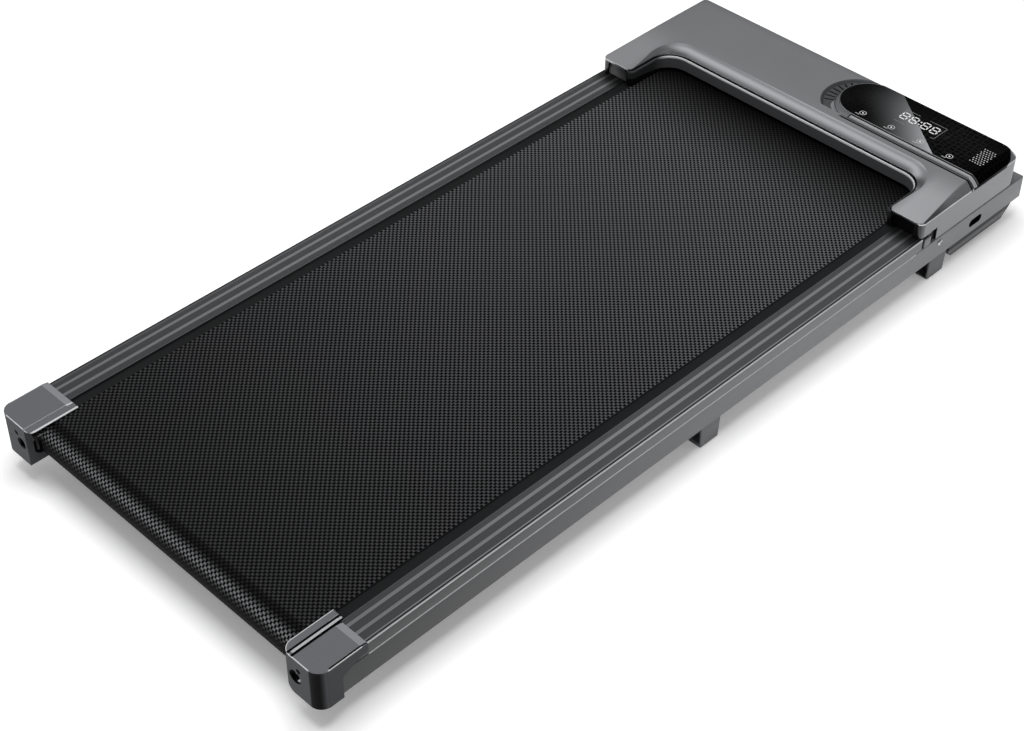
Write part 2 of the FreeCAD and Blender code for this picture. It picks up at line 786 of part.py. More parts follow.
# A rear end cap, laid out on the right side: a shell open to the front, with a lip over the belt's edge.
def end_cap(plate_inner, foot_corner):
    plate_bottom = rail_top + cap_fit
    cover = slab([(cap_lip_inner, rear_y, cap_lip_corner), (cap_outer, rear_y, cap_corner),
                  (cap_outer, cap_front_y, 0), (cap_lip_inner, cap_front_y, 0)], plate_bottom, cap_top)
    cover = cover.cut(box(cap_lip_inner - overrun, plate_inner, rear_y - overrun, cap_front_y + overrun,
                          cap_lip_top, cap_top + overrun))
    body = slab([(cap_lip_outer, rear_y, 0), (cap_outer, rear_y, cap_corner), (cap_outer, cap_front_y, 0),
                 (cap_lip_outer, cap_front_y, 0)], cap_bottom, plate_bottom + weld_overlap)
    inside = cap_outer - cap_wall
    cheek_inside = cap_lip_outer + cap_wall
    rear_inside = rear_y + cap_rear_wall
    body = body.cut(slab([(cheek_inside, rear_inside, 0), (inside, rear_inside, cap_corner - cap_wall),
                          (inside, cap_front_y + overrun, 0), (cheek_inside, cap_front_y + overrun, 0)],
                         cap_bottom + cap_wall, plate_bottom))
    window_low = cap_bottom + cap_cheek_height
    cheek_end = rear_y + cap_cheek_length
    window = [(rear_y + cap_cheek_strip, window_low, cap_cheek_corner),
              (cheek_end - cap_cheek_strip, window_low, 0),
              (cheek_end, cap_bottom + cap_cheek_end_height, 0), (cheek_end, cap_bottom - overrun, 0),
              (cap_front_y + overrun, cap_bottom - overrun, 0),
              (cap_front_y + overrun, plate_bottom, 0), (rear_y + cap_cheek_strip, plate_bottom, 0)]
    body = body.cut(bar_x(window, cap_lip_outer - overrun, cheek_inside + weld_overlap))
    if foot_corner:
        rest = [(cap_outer + overrun, cap_bottom, 0), (cap_outer + overrun, plate_bottom, 0),
                (cap_lip_outer, plate_bottom, 0), (cap_lip_outer, cap_bottom, foot_corner)]
        body = body.common(bar_y(rest, rear_y - overrun, cap_front_y + overrun))
    shell = fused([body, cover])
    if plate_inner > cap_lip_outer:
        ridge = rod_y(cap_ridge_radius, rear_y, cap_front_y, cap_ridge_x, cap_top - cap_ridge_radius)
        ridge = ridge.cut(box(cap_lip_outer, plate_inner, rear_y - overrun, cap_front_y + overrun,
                              cap_bottom, plate_bottom))
        shell = fused([shell, ridge])
    ramp = sharp([(cap_front_y - cap_ramp_length, cap_top), (cap_front_y, plate_bottom + cap_ramp_edge),
                  (cap_front_y + overrun, plate_bottom + cap_ramp_edge),
                  (cap_front_y + overrun, cap_top + overrun),
                  (cap_front_y - cap_ramp_length, cap_top + overrun)])
    shell = shell.cut(bar_x(ramp, plate_inner, cap_outer + overrun))
    step_y = rear_y + cap_side_length
    step_z = rail_top - cap_step_depth
    step = sharp([(step_y, cap_bottom - overrun), (cap_front_y + overrun, cap_bottom - overrun),
                  (cap_front_y + overrun, step_z), (step_y + cap_step_length, step_z),
                  (step_y, step_z - cap_step_drop)])
    shell = shell.cut(bar_x(step, cap_lip_outer, cap_outer + overrun))
    shift_x, shift_z = cap_small_hole_shift
    for radius, x, z in ((cap_hole_radius, bolt_x, axle_z),
                         (cap_small_hole_radius, bolt_x + shift_x, axle_z + shift_z)):
        shell = shell.cut(rod_y(radius, rear_y - overrun, rear_inside + weld_overlap, x, z))
    return shell


def make_end_caps():
    save("left_end_cap", mirrored(end_cap(cap_lip_outer, 0)))
    save("right_end_cap", end_cap(cap_plate_inner, cap_foot_corner))


def roller_bracket():
    half_length = roller_bracket_length / 2
    half_height = roller_bracket_height / 2
    plate = box(tube_inner - roller_bracket_thickness, tube_inner, front_axle_y - half_length,
                front_axle_y + half_length, axle_z - half_height, axle_z + half_height)
    return plate.cut(rod_x(axle_radius + axle_fit, tube_inner - overrun, tube_inner + overrun,
                           front_axle_y, axle_z))


def make_front_roller():
    save("front_roller", roller(front_axle_y))
    save("front_roller_bearings", *bearings(front_axle_y))
    axle_half = tube_inner - axle_fit
    save("front_axle", rod_x(axle_radius, -axle_half, axle_half, front_axle_y, axle_z))
    bracket = roller_bracket()
    save("left_roller_bracket", mirrored(bracket))
    save("right_roller_bracket", bracket)
    rim = rod_x(pulley_radius, pulley_outer_x, pulley_inner_x, front_axle_y, axle_z)
    hub = rod_x(pulley_hub_radius, pulley_inner_x - weld_overlap, -roller_half, front_axle_y, axle_z)
    bore = rod_x(axle_radius + pulley_bore_gap, pulley_outer_x - overrun, -roller_half + overrun,
                 front_axle_y, axle_z)
    save("roller_pulley", fused([rim, hub]).cut(bore))
    inner_gap = belt_running_gap
    outer_gap = belt_running_gap + drive_belt_thickness
    x0 = pulley_outer_x + drive_belt_side_gap
    x1 = pulley_inner_x - drive_belt_side_gap
    loop = belt_block((front_axle_y, axle_z, pulley_radius + outer_gap),
                      (motor_y, motor_z, motor_pulley_radius + outer_gap), x0, x1)
    inner = belt_block((front_axle_y, axle_z, pulley_radius + inner_gap),
                       (motor_y, motor_z, motor_pulley_radius + inner_gap), x0 - overrun, x1 + overrun)
    save("drive_belt", loop.cut(inner))


def cooling_fan():
    x1 = motor_left_x - motor_bell_length - fan_gap
    x0 = x1 - fan_thickness
    hub = rod_x(fan_hub_radius, x0, x1, motor_y, motor_z)
    plate = rod_x(fan_radius, x1 - fan_plate_thickness, x1, motor_y, motor_z)
    blades = []
    for index in range(fan_blade_count):
        blade = box(x0, x1 - fan_plate_thickness + weld_overlap, motor_y - fan_blade_thickness / 2,
                    motor_y + fan_blade_thickness / 2, motor_z + fan_hub_radius - weld_overlap,
                    motor_z + fan_radius - weld_overlap)
        blade.rotate(FreeCAD.Vector(x0, motor_y, motor_z), x_axis, index * 360 / fan_blade_count)
        blades.append(blade)
    bore = rod_x(motor_shaft_radius + bearing_fit, x0 - overrun, x1 + overrun, motor_y, motor_z)
    return fused([hub, plate] + blades).cut(bore)


def make_motor():
    can = rod_x(motor_radius, motor_can_left, motor_can_right, motor_y, motor_z)
    save("motor_can", can.cut(rod_x(motor_radius - motor_wall, motor_can_left - overrun,
                                    motor_can_right + overrun, motor_y, motor_z)))
    bells = []
    bore = rod_x(motor_shaft_radius + running_fit, motor_left_x - overrun, motor_right_x + overrun,
                 motor_y, motor_z)
    neck_end = motor_left_x - motor_bell_length / 2
    left = rod_x(motor_radius, motor_left_x, motor_can_left, motor_y, motor_z)
    neck = rod_x(motor_bell_neck_radius, neck_end, motor_left_x + weld_overlap, motor_y, motor_z)
    bells.append(fused([left, neck]).cut(bore))
    bells.append(rod_x(motor_radius, motor_can_right, motor_right_x, motor_y, motor_z).cut(bore))
    save("motor_end_bells", *bells)
    save("motor_shaft", rod_x(motor_shaft_radius, pulley_outer_x, motor_right_x + motor_tail_length,
                              motor_y, motor_z))
    pulley = rod_x(motor_pulley_radius, pulley_outer_x, pulley_inner_x, motor_y, motor_z)
    save("motor_pulley", pulley.cut(rod_x(motor_shaft_radius + bearing_fit, pulley_outer_x - overrun,
                                          pulley_inner_x + overrun, motor_y, motor_z)))
    save("cooling_fan", cooling_fan())
    make_motor_mount()


def make_motor_mount():
    x0 = motor_middle_x - saddle_length / 2
    x1 = motor_middle_x + saddle_length / 2
    bottom = motor_z - motor_radius - saddle_plate_thickness
    plate_top = bottom + saddle_plate_thickness
    plate = box(x0, x1, motor_y - saddle_width / 2, front_tube_y, bottom, plate_top)
    saddle = box(x0, x1, motor_y - saddle_width / 2, motor_y + saddle_width / 2, plate_top - weld_overlap,
                 plate_top + saddle_height)
    flange = box(x0, x1, front_tube_y - saddle_plate_thickness, front_tube_y, bottom, motor_z)
    bracket = fused([plate, saddle, flange])
    bracket = bracket.cut(rod_x(motor_radius + saddle_fit, x0 - overrun, x1 + overrun, motor_y, motor_z))
    seat = plate_top + saddle_height
    clamp_outer = motor_radius + saddle_fit + clamp_thickness
    clamp_x0 = motor_middle_x - clamp_width / 2
    clamp_x1 = motor_middle_x + clamp_width / 2
    ear_reach = saddle_width / 2
    band = rod_x(clamp_outer, clamp_x0, clamp_x1, motor_y, motor_z)
    ears = box(clamp_x0, clamp_x1, motor_y - ear_reach, motor_y + ear_reach, seat, seat + clamp_thickness)
    clamp = fused([band, ears])
    clamp = clamp.cut(rod_x(motor_radius + saddle_fit, clamp_x0 - overrun, clamp_x1 + overrun,
                            motor_y, motor_z))
    clamp = clamp.cut(box(clamp_x0 - overrun, clamp_x1 + overrun, motor_y - clamp_outer - overrun,
                          motor_y + clamp_outer + overrun, bottom - overrun, seat))
    bolts = []
    for side in (-1, 1):
        bolt_y = motor_y + side * (ear_reach - clamp_bolt_inset)
        clamp = clamp.cut(rod_z(motor_bolt_radius + screw_fit, seat - overrun, seat + overrun,
                                motor_middle_x, bolt_y))
        bracket = bracket.cut(rod_z(motor_bolt_radius + screw_fit, seat - motor_bolt_length, seat + overrun,
                                    motor_middle_x, bolt_y))
        head_z = seat + clamp_thickness
        head = rod_z(motor_bolt_head_radius, head_z, head_z + motor_bolt_head_height,
                     motor_middle_x, bolt_y)
        shank = rod_z(motor_bolt_radius, head_z - motor_bolt_length, head_z + weld_overlap,
                      motor_middle_x, bolt_y)
        bolts.append(fused([head, shank]))
    save("motor_bracket", bracket)
    save("motor_clamp", clamp)
    save("motor_bolts", *bolts)


# The hood's plan at one level: a U whose arms reach back over the rails.
def hood_plan(side_inset, opening_inset, front_inset):
    half = hood_half - side_inset
    back = hood_back_y - side_inset
    inner = hood_inner + opening_inset
    lip = hood_lip_y + opening_inset
    front = hood_front_y + front_inset
    right = [(inner, lip, hood_inner_corner + opening_inset), (inner, front, hood_tip_corner),
             (half, front, hood_arm_corner), (half, back, hood_back_corner)]
    left = [(-x, y, radius) for x, y, radius in reversed(right)]
    return right + left


# Everything above the arms' ramps, which fall in a smooth S from the plateau to the ends of the arms.
def above_ramp(drop):
    top = hood_top_z - drop
    low = hood_lip_z + hood_ramp_end_rise - drop
    start = hood_front_y
    end = hood_front_y + hood_ramp_length
    middle_y = (start + end) / 2
    middle_z = (top + low) / 2
    rise = (top - low) / 2
    run = hood_ramp_length / 2
    radius = (run * run + rise * rise) / (2 * rise)
    half_turn = math.atan2(rise, run)
    bulge_y = radius * math.sin(half_turn)
    bulge_z = radius * (1 - math.cos(half_turn))
    place = across_x(-hood_half - overrun)
    points = [place(start - overrun, low), place(start, low), place(middle_y, middle_z), place(end, top),
              place(end, top + overrun), place(start - overrun, top + overrun)]
    edges = [Part.LineSegment(points[0], points[1]).toShape(),
             Part.Arc(points[1], place(start + bulge_y, low + bulge_z), points[2]).toShape(),
             Part.Arc(points[2], place(end - bulge_y, top - bulge_z), points[3]).toShape(),
             Part.LineSegment(points[3], points[4]).toShape(),
             Part.LineSegment(points[4], points[5]).toShape(),
             Part.LineSegment(points[5], points[0]).toShape()]
    return Part.Face(Part.Wire(edges)).extrude(x_axis * ((hood_half + overrun) * 2))


# The rounded bevel round the opening, from the lip to the plateau: its run, and the share of its rise.
def bevel_steps():
    run = hood_lip_bevel - hood_lip_ledge
    height = hood_top_z - hood_lip_z
    half_chord = math.hypot(run, height) / 2
    slope = math.atan2(height, run)
    half_turn = math.atan2(hood_bevel_bulge, half_chord) * 2
    radius = half_chord / math.sin(half_turn)
    steps = []
    for index in range(hood_bevel_steps + 1):
        turn = half_turn - half_turn * 2 * index / hood_bevel_steps
        along = half_chord - radius * math.sin(turn)
        out = radius * (math.cos(turn) - math.cos(half_turn))
        steps.append((along * math.cos(slope) - out * math.sin(slope),
                      (along * math.sin(slope) + out * math.cos(slope)) / height))
    return steps


def hood_block(wall):
    ledge = hood_lip_ledge + wall
    front = wall + hood_recess_depth if wall else 0
    lower = slab(hood_plan(wall, wall, front), tube_top - (overrun if wall else 0), hood_lip_z)
    crown = Part.makeLoft([
        outline(hood_plan(wall + hood_bevel * rise, ledge + run, front),
                in_plan(hood_lip_z + (hood_top_z - wall - hood_lip_z) * rise))
        for run, rise in bevel_steps()
    ], True, True)
    block = lower.fuse(crown)
    return block.cut(above_ramp(wall)).removeSplitter()


# The line that the hood's top and its right bevel follow, moved out by an offset, closed into a bar.
def pod_section(low_offset, high_offset, left_x):
    bevel_run = hood_bevel
    bevel_fall = hood_top_z - hood_lip_z
    bevel_length = math.hypot(bevel_run, bevel_fall)
    normal_x = bevel_fall / bevel_length
    normal_z = bevel_run / bevel_length

    def bend(offset):
        return plateau_half + offset * (1 - normal_z) / normal_x, hood_top_z + offset

    def foot(offset):
        return hood_half, hood_lip_z + offset / normal_z

    return sharp([(left_x, hood_top_z + low_offset), bend(low_offset), foot(low_offset),
                  foot(high_offset), bend(high_offset), (left_x, hood_top_z + high_offset)])


# The pod's plan: a rounded end on the left, grown by the trim on the left and in front.
def panel_plan(grow, front_grow):
    front = panel_front_y - front_grow
    left = pod_left - grow
    left_radius = min(panel_left_radius + grow, (panel_back_y - front) / 2)
    return [(left, front, left_radius), (hood_half, front, 0),
            (hood_half, panel_back_y, panel_corner), (left, panel_back_y, left_radius)]


def pod_piece(low_offset, high_offset, grow, front_grow):
    section = bar_y(pod_section(low_offset, high_offset, pod_left - overrun * 2), trim_front_y - overrun,
                    panel_back_y + overrun)
    return section.common(slab(panel_plan(grow, front_grow), tube_top, hood_top_z + overrun))


def dish_cut():
    bottom = hood_top_z - dish_depth
    cone = Part.makeCone(dish_radius - dish_depth * 2, dish_radius, dish_depth - dish_edge_depth,
                         FreeCAD.Vector(dish_centre_x, dish_centre_y, bottom))
    rim = rod_z(dish_radius, hood_top_z - dish_edge_depth, hood_top_z + overrun,
                dish_centre_x, dish_centre_y)
    keep = box(dish_centre_x - dish_radius, dish_centre_x + dish_radius, trim_front_y,
               plateau_back_y - dish_edge_depth, bottom - overrun, hood_top_z + overrun * 2)
    return fused([cone, rim]).common(keep)


def vent_cuts():
    slots = []
    for index in range(vent_count):
        slot = box(dish_centre_x + dish_radius * vent_inner_share,
                   dish_centre_x + dish_radius * vent_outer_share,
                   dish_centre_y - vent_width / 2, dish_centre_y + vent_width / 2,
                   hood_top_z - overrun, hood_top_z + overrun)
        slot.rotate(FreeCAD.Vector(dish_centre_x, dish_centre_y, 0), z_axis,
                    vent_start_deg + vent_step_deg * index)
        slots.append(slot)
    return slots


def hood_shell():
    cavity = hood_block(hood_wall)
    backing = pod_piece(-backing_depth, panel_proud, trim_bead + pod_backing, trim_width + pod_backing)
    dish_back = rod_z(dish_radius + hood_wall, hood_top_z - dish_depth - dish_backing, hood_top_z,
                      dish_centre_x, dish_centre_y)
    dish_back = dish_back.common(box(dish_centre_x - dish_radius - hood_wall, board_x - board_gap,
                                     trim_front_y, plateau_back_y, tube_top, hood_top_z))
    cavity = cavity.cut(backing).cut(dish_back)
    shell = hood_block(0).cut(cavity)
    floor_offset = panel_proud - panel_thickness
    pocket = fused([pod_piece(floor_offset, overrun, trim_bead + panel_fit, reach + panel_fit)
                    for reach in (trim_bead, trim_width)])
    shell = shell.cut(dish_cut()).cut(pocket)
    for slot in vent_cuts():
        shell = shell.cut(slot.cut(pocket))
    shell = shell.cut(box(window_x - digit_fit, window_x + window_width + digit_fit, window_y - digit_fit,
                          window_y + window_depth + digit_fit, board_top - overrun, hood_top_z + overrun))
    side = hood_half + overrun
    notch_y = rail_front_y + hood_notch_length
    shell = shell.cut(box(-side, side, hood_front_y - overrun, notch_y, tube_top - overrun,
                          rail_top + hood_rail_gap))
    shell = shell.cut(box(-tube_inner, tube_inner, hood_front_y - overrun, hood_lip_y + hood_wall * 2,
                          tube_top - overrun, rail_top + hood_rail_gap))
    recess = box(hood_inner + hood_wall, hood_half - hood_wall, hood_front_y - overrun,
                 hood_front_y + hood_recess_depth, tube_top - overrun, hood_lip_z - hood_wall)
    shell = shell.cut(recess).cut(mirrored(recess))
    under = belt_half + hood_belt_gap
    shell = shell.cut(box(-under, under, hood_lip_y - overrun, hood_lip_y + hood_wall * 2,
                          tube_top - overrun, belt_top + hood_belt_gap))
    for cutter in fitting_holes():
        shell = shell.cut(cutter)
    return shell


def fitting_holes():
    y0 = hood_back_y - hood_wall * 2
    y1 = hood_back_y + overrun
    holes = []
    for x, width, height in ((inlet_x, inlet_width, inlet_height), (switch_x, switch_width, switch_height)):
        half_width = width / 2 + fitting_fit
        half_height = height / 2 + fitting_fit
        holes.append(box(x - half_width, x + half_width, y0, y1, fitting_z - half_height,
                         fitting_z + half_height))
    holes.append(rod_y(breaker_radius + fitting_fit, y0, y1, breaker_x, fitting_z))
    return holes


def make_hood():
    save("hood_shell", hood_shell())
    floor_offset = panel_proud - panel_thickness
    save("display_panel", pod_piece(floor_offset, panel_proud, 0, 0))
    bead = pod_piece(floor_offset, trim_proud, trim_bead, trim_bead)
    band = pod_piece(floor_offset, -trim_band_drop, trim_bead, trim_width)
    trim = fused([bead, band]).cut(pod_piece(floor_offset - overrun, overrun, panel_fit, panel_fit))
    save("display_trim", trim)
    make_display_parts()


def make_display_parts():
    board = box(board_x, board_end, panel_front_y + board_margin, panel_back_y - board_margin,
                board_top - board_thickness, board_top)
    save("display_board", board)
    save("digit_module", box(window_x, window_x + window_width, window_y, window_y + window_depth,
                             board_top, board_top + digit_rise))
    cone = rod_z(speaker_radius, board_top - speaker_height / 2, board_top, speaker_x, panel_middle_y)
    magnet = rod_z(speaker_radius * speaker_magnet_share, board_top - speaker_height,
                   board_top - speaker_height / 2 + weld_overlap, speaker_x, panel_middle_y)
    save("speaker", fused([cone, magnet]))


def make_power_fittings():
    half_width = inlet_width / 2
    half_height = inlet_height / 2
    body = box(inlet_x - half_width, inlet_x + half_width, hood_back_y - inlet_depth,
               hood_back_y + weld_overlap, fitting_z - half_height, fitting_z + half_height)
    flange = box(inlet_x - half_width - inlet_border, inlet_x + half_width + inlet_border, hood_back_y,
                 fitting_face_y, fitting_z - half_height - inlet_border,
                 fitting_z + half_height + inlet_border)
    inlet = fused([body, flange])
    socket_end = fitting_face_y - inlet_socket_depth
    inlet = inlet.cut(box(inlet_x - half_width + inlet_border, inlet_x + half_width - inlet_border,
                          socket_end, fitting_face_y + overrun, fitting_z - half_height + inlet_border,
                          fitting_z + half_height - inlet_border))
    pins = [rod_y(inlet_pin_radius, socket_end - weld_overlap, hood_back_y,
                  inlet_x + inlet_pin_pitch * step, fitting_z) for step in (-1, 0, 1)]
    save("power_inlet", fused([inlet] + pins))
    make_switch()
    make_breaker()


def make_switch():
    half_width = switch_width / 2
    half_height = switch_height / 2
    body = box(switch_x - half_width, switch_x + half_width, hood_back_y - switch_depth,
               hood_back_y + weld_overlap, fitting_z - half_height, fitting_z + half_height)
    flange = box(switch_x - half_width - switch_border, switch_x + half_width + switch_border, hood_back_y,
                 fitting_face_y, fitting_z - half_height - switch_border,
                 fitting_z + half_height + switch_border)
    well_half = rocker_width / 2 + rocker_well_gap
    well_side = rocker_height / 2 + rocker_side_gap
    pivot_y = fitting_face_y - rocker_depth / 2
    frame = fused([body, flange])
    frame = frame.cut(box(switch_x - well_half, switch_x + well_half,
                          fitting_face_y - rocker_depth - rocker_well_gap * 2, fitting_face_y + overrun,
                          fitting_z - well_side, fitting_z + well_side))
    pin_half = rocker_height / 2 + rocker_pin_length
    frame = frame.cut(rod_z(rocker_pin_radius + running_fit, fitting_z - pin_half - running_fit,
                            fitting_z + pin_half + running_fit, switch_x, pivot_y))
    save("switch_frame", frame)
    half = rocker_width / 2
    tilt = math.radians(rocker_tilt_deg)
    crest = half * math.tan(tilt)
    top_y = fitting_face_y
    shape = [(switch_x - half, top_y - rocker_depth, 0), (switch_x + half, top_y - rocker_depth, 0),
             (switch_x + half, top_y + crest, 0), (switch_x, top_y, 0), (switch_x - half, top_y + crest, 0)]
    rocker = slab(shape, fitting_z - rocker_height / 2, fitting_z + rocker_height / 2)
    pin = rod_z(rocker_pin_radius, fitting_z - pin_half, fitting_z + pin_half, switch_x, pivot_y)
    rocker = fused([rocker, pin])
    rocker.rotate(FreeCAD.Vector(switch_x, pivot_y, fitting_z), z_axis, rocker_tilt_deg)
    save("power_rocker", rocker)


def make_breaker():
    barrel = rod_y(breaker_radius, hood_back_y - breaker_depth, hood_back_y + weld_overlap,
                   breaker_x, fitting_z)
    flange = rod_y(breaker_flange_radius, hood_back_y, fitting_face_y, breaker_x, fitting_z)
    seat_y = fitting_face_y - button_seat
    bore = rod_y(button_radius + running_fit, seat_y, fitting_face_y + overrun, breaker_x, fitting_z)
    save("circuit_breaker", fused([barrel, flange]).cut(bore))
    save("reset_button", rod_y(button_radius, seat_y + button_proud - button_fit,
                               fitting_face_y + button_proud - button_fit, breaker_x, fitting_z))


# Side view of the pan: chamfered at the rear, raked at the front.
def pan_profile(wall):
    bottom = pan_floor_height + wall
    top = tube_bottom + (overrun if wall else 0)
    rear = pan_rear_y + wall
    front = pan_front_y - wall
    return sharp([(rear, top), (rear, bottom + pan_rear_chamfer), (rear + pan_rear_chamfer, bottom),
                  (front - pan_taper_length, bottom), (front, bottom + pan_taper_rise), (front, top)])


def wheel_well(grow):
    half_width = wheel_width / 2 + well_side_gap + grow
    reach = wheel_radius + well_round_gap + grow
    return box(wheel_x - half_width, wheel_x + half_width, wheel_y - reach, wheel_y + reach,
               pan_floor_height - (0 if grow else overrun), wheel_z + reach)


def control_posts():
    places = []
    for x in (control_left + control_post_inset, control_left + control_width - control_post_inset):
        for side in (-1, 1):
            places.append((x, control_y + side * (control_depth / 2 - control_post_inset)))
    return places


def bottom_pan():
    pan = bar_x(pan_profile(0), -pan_half, pan_half)
    pan = pan.cut(bar_x(pan_profile(pan_wall), -pan_half + pan_wall, pan_half - pan_wall))
    wells = wheel_well(well_wall)
    envelope = bar_x(pan_profile(0), -pan_half, pan_half)
    wells = wells.common(envelope)
    posts = [rod_z(control_post_radius, pan_inner_floor - weld_overlap, control_bottom, x, y)
             for x, y in control_posts()]
    flange = box(pan_half - pan_flange_width, pan_half - weld_overlap, pan_rear_y + weld_overlap,
                 front_tube_y, tube_bottom - pan_wall, tube_bottom)
    pan = fused([pan, wells, mirrored(wells), flange, mirrored(flange)] + posts)
    for side in (wheel_well(0), mirrored(wheel_well(0))):
        pan = pan.cut(side)
    pan = pan.cut(box(-tube_inner, tube_inner, pan_rear_y - overrun, pan_rear_y + pan_wall * 2,
                      tube_bottom - pan_rear_drop, tube_bottom + overrun))
    for x in (-wheel_x, wheel_x):
        axle_half = wheel_width / 2 + well_side_gap + well_wall
        pan = pan.cut(rod_x(wheel_axle_radius + bearing_fit, x - axle_half, x + axle_half,
                            wheel_y, wheel_z))
    for x in (-pan_screw_x, pan_screw_x):
        for y in pan_screw_places:
            pan = pan.cut(rod_z(pan_screw_head_radius + screw_fit, pan_floor_height - overrun,
                                tube_bottom - pan_wall, x, y))
            pan = pan.cut(rod_z(pan_screw_radius + screw_fit, tube_bottom - pan_wall - weld_overlap,
                                tube_bottom + overrun, x, y))
    return pan


def make_pan():
    save("bottom_pan", bottom_pan())
    screws = []
    seat = tube_bottom - pan_wall
    for y in pan_screw_places:
        head = rod_z(pan_screw_head_radius, seat - pan_screw_head_height, seat, pan_screw_x, y)
        shank = rod_z(pan_screw_radius, seat - weld_overlap, seat + pan_wall + pan_screw_bite,
                      pan_screw_x, y)
        screw = fused([head, shank])
        screws += [screw, mirrored(screw)]
    save("pan_screws", *screws)
    make_wheels()
    make_electronics()


def make_wheels():
    half_width = wheel_width / 2
    wheel = rod_x(wheel_radius, wheel_x - half_width, wheel_x + half_width, wheel_y, wheel_z)
    rim_radius = wheel_radius * wheel_rim_share
    for x0, x1 in ((wheel_x - half_width - overrun, wheel_x - half_width + wheel_dish_depth),
                   (wheel_x + half_width - wheel_dish_depth, wheel_x + half_width + overrun)):
        dish = rod_x(rim_radius, x0, x1, wheel_y, wheel_z)
        wheel = wheel.cut(dish.cut(rod_x(wheel_axle_radius * 2, x0, x1, wheel_y, wheel_z)))
    wheel = wheel.cut(rod_x(wheel_axle_radius + running_fit, wheel_x - half_width - overrun,
                            wheel_x + half_width + overrun, wheel_y, wheel_z))
    save("left_wheel", mirrored(wheel))
    save("right_wheel", wheel)
    axle_half = half_width + well_side_gap + well_wall
    axle = rod_x(wheel_axle_radius, wheel_x - axle_half, wheel_x + axle_half, wheel_y, wheel_z)
    save("wheel_axles", axle, mirrored(axle))


def make_electronics():
    x0 = control_left
    x1 = control_left + control_width
    y0 = control_y - control_depth / 2
    save("control_board", box(x0, x1, y0, y0 + control_depth, control_bottom, control_top))
    sink_x = x0 + board_part_inset
    sink_y = control_y - heatsink_depth / 2
    base = box(sink_x, sink_x + heatsink_width, sink_y, sink_y + heatsink_depth, control_top,
               control_top + heatsink_base)
    fins = []
    pitch = heatsink_width / heatsink_fins
    for index in range(heatsink_fins):
        fin_x = sink_x + pitch * index
        fins.append(box(fin_x, fin_x + pitch * heatsink_fin_share, sink_y, sink_y + heatsink_depth,
                        control_top + heatsink_base - weld_overlap, control_top + heatsink_height))
    save("heatsink", fused([base] + fins))
    cans = []
    for index in range(capacitor_count):
        can_x = x1 - board_part_inset - capacitor_radius - capacitor_pitch * index
        cans.append(rod_z(capacitor_radius, control_top, control_top + capacitor_height, can_x, control_y))
    save("capacitors", *cans)


# A rubber foot that narrows to the floor, hollowed from its rear face.
def foot(x0, x1, y0, y1, top):
    def plan(inset):
        return sharp([(x0 + inset, y0 + inset), (x1 - inset, y0 + inset), (x1 - inset, y1 - inset),
                      (x0 + inset, y1 - inset)])

    ends = [outline(plan(foot_taper), in_plan(0)), outline(plan(0), in_plan(top))]
    block = Part.makeLoft(ends, True, True)
    pocket = box(x0 + foot_pocket_wall, x1 - foot_pocket_wall, y0 - overrun, y0 + foot_pocket_depth,
                 foot_pocket_floor, top - foot_pocket_wall)
    return block.cut(pocket)


def make_feet():
    outer = half_frame - foot_side_inset
    inner = outer - foot_width
    middle_y = rear_y + middle_foot_setback
    front_foot_y = front_y - front_foot_setback
    middle = foot(inner, outer, middle_y, middle_y + middle_foot_length, tube_bottom)
    front = foot(inner, outer, front_foot_y, front_foot_y + front_foot_length, tube_bottom)
    rear = foot(rear_foot_inner, rear_foot_outer, rear_cross_y, rear_cross_y + cross_depth, cross_bottom)
    save("rear_feet", rear, mirrored(rear))
    save("middle_feet", middle, mirrored(middle))
    save("front_feet", front, mirrored(front))


os.makedirs("parts", exist_ok=True)
make_frame()
make_rails()
make_deck()
make_rear_roller()
make_end_caps()
make_front_roller()
make_motor()
make_hood()
make_power_fittings()
make_pan()
make_feet()
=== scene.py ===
import bpy
import bmesh
import math
from itertools import product
from mathutils import Matrix, Vector


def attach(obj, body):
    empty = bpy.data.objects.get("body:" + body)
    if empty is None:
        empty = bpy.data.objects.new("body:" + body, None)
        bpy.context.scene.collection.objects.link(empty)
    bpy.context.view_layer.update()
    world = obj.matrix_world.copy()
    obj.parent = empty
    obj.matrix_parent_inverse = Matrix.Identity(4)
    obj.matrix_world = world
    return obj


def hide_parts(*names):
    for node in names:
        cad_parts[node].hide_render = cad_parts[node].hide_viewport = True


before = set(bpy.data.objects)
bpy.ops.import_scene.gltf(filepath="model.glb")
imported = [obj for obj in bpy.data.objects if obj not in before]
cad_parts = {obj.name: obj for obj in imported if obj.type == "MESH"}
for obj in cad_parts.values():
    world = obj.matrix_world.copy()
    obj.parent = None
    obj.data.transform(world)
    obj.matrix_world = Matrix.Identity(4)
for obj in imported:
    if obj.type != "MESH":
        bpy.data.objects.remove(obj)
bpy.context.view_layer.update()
scene = bpy.context.scene
mm = 0.001
sides = {"left": -1, "right": 1}
finishes = {}


class Form(dict):  # a piece's measures, read as form.name
    __getattr__ = dict.__getitem__


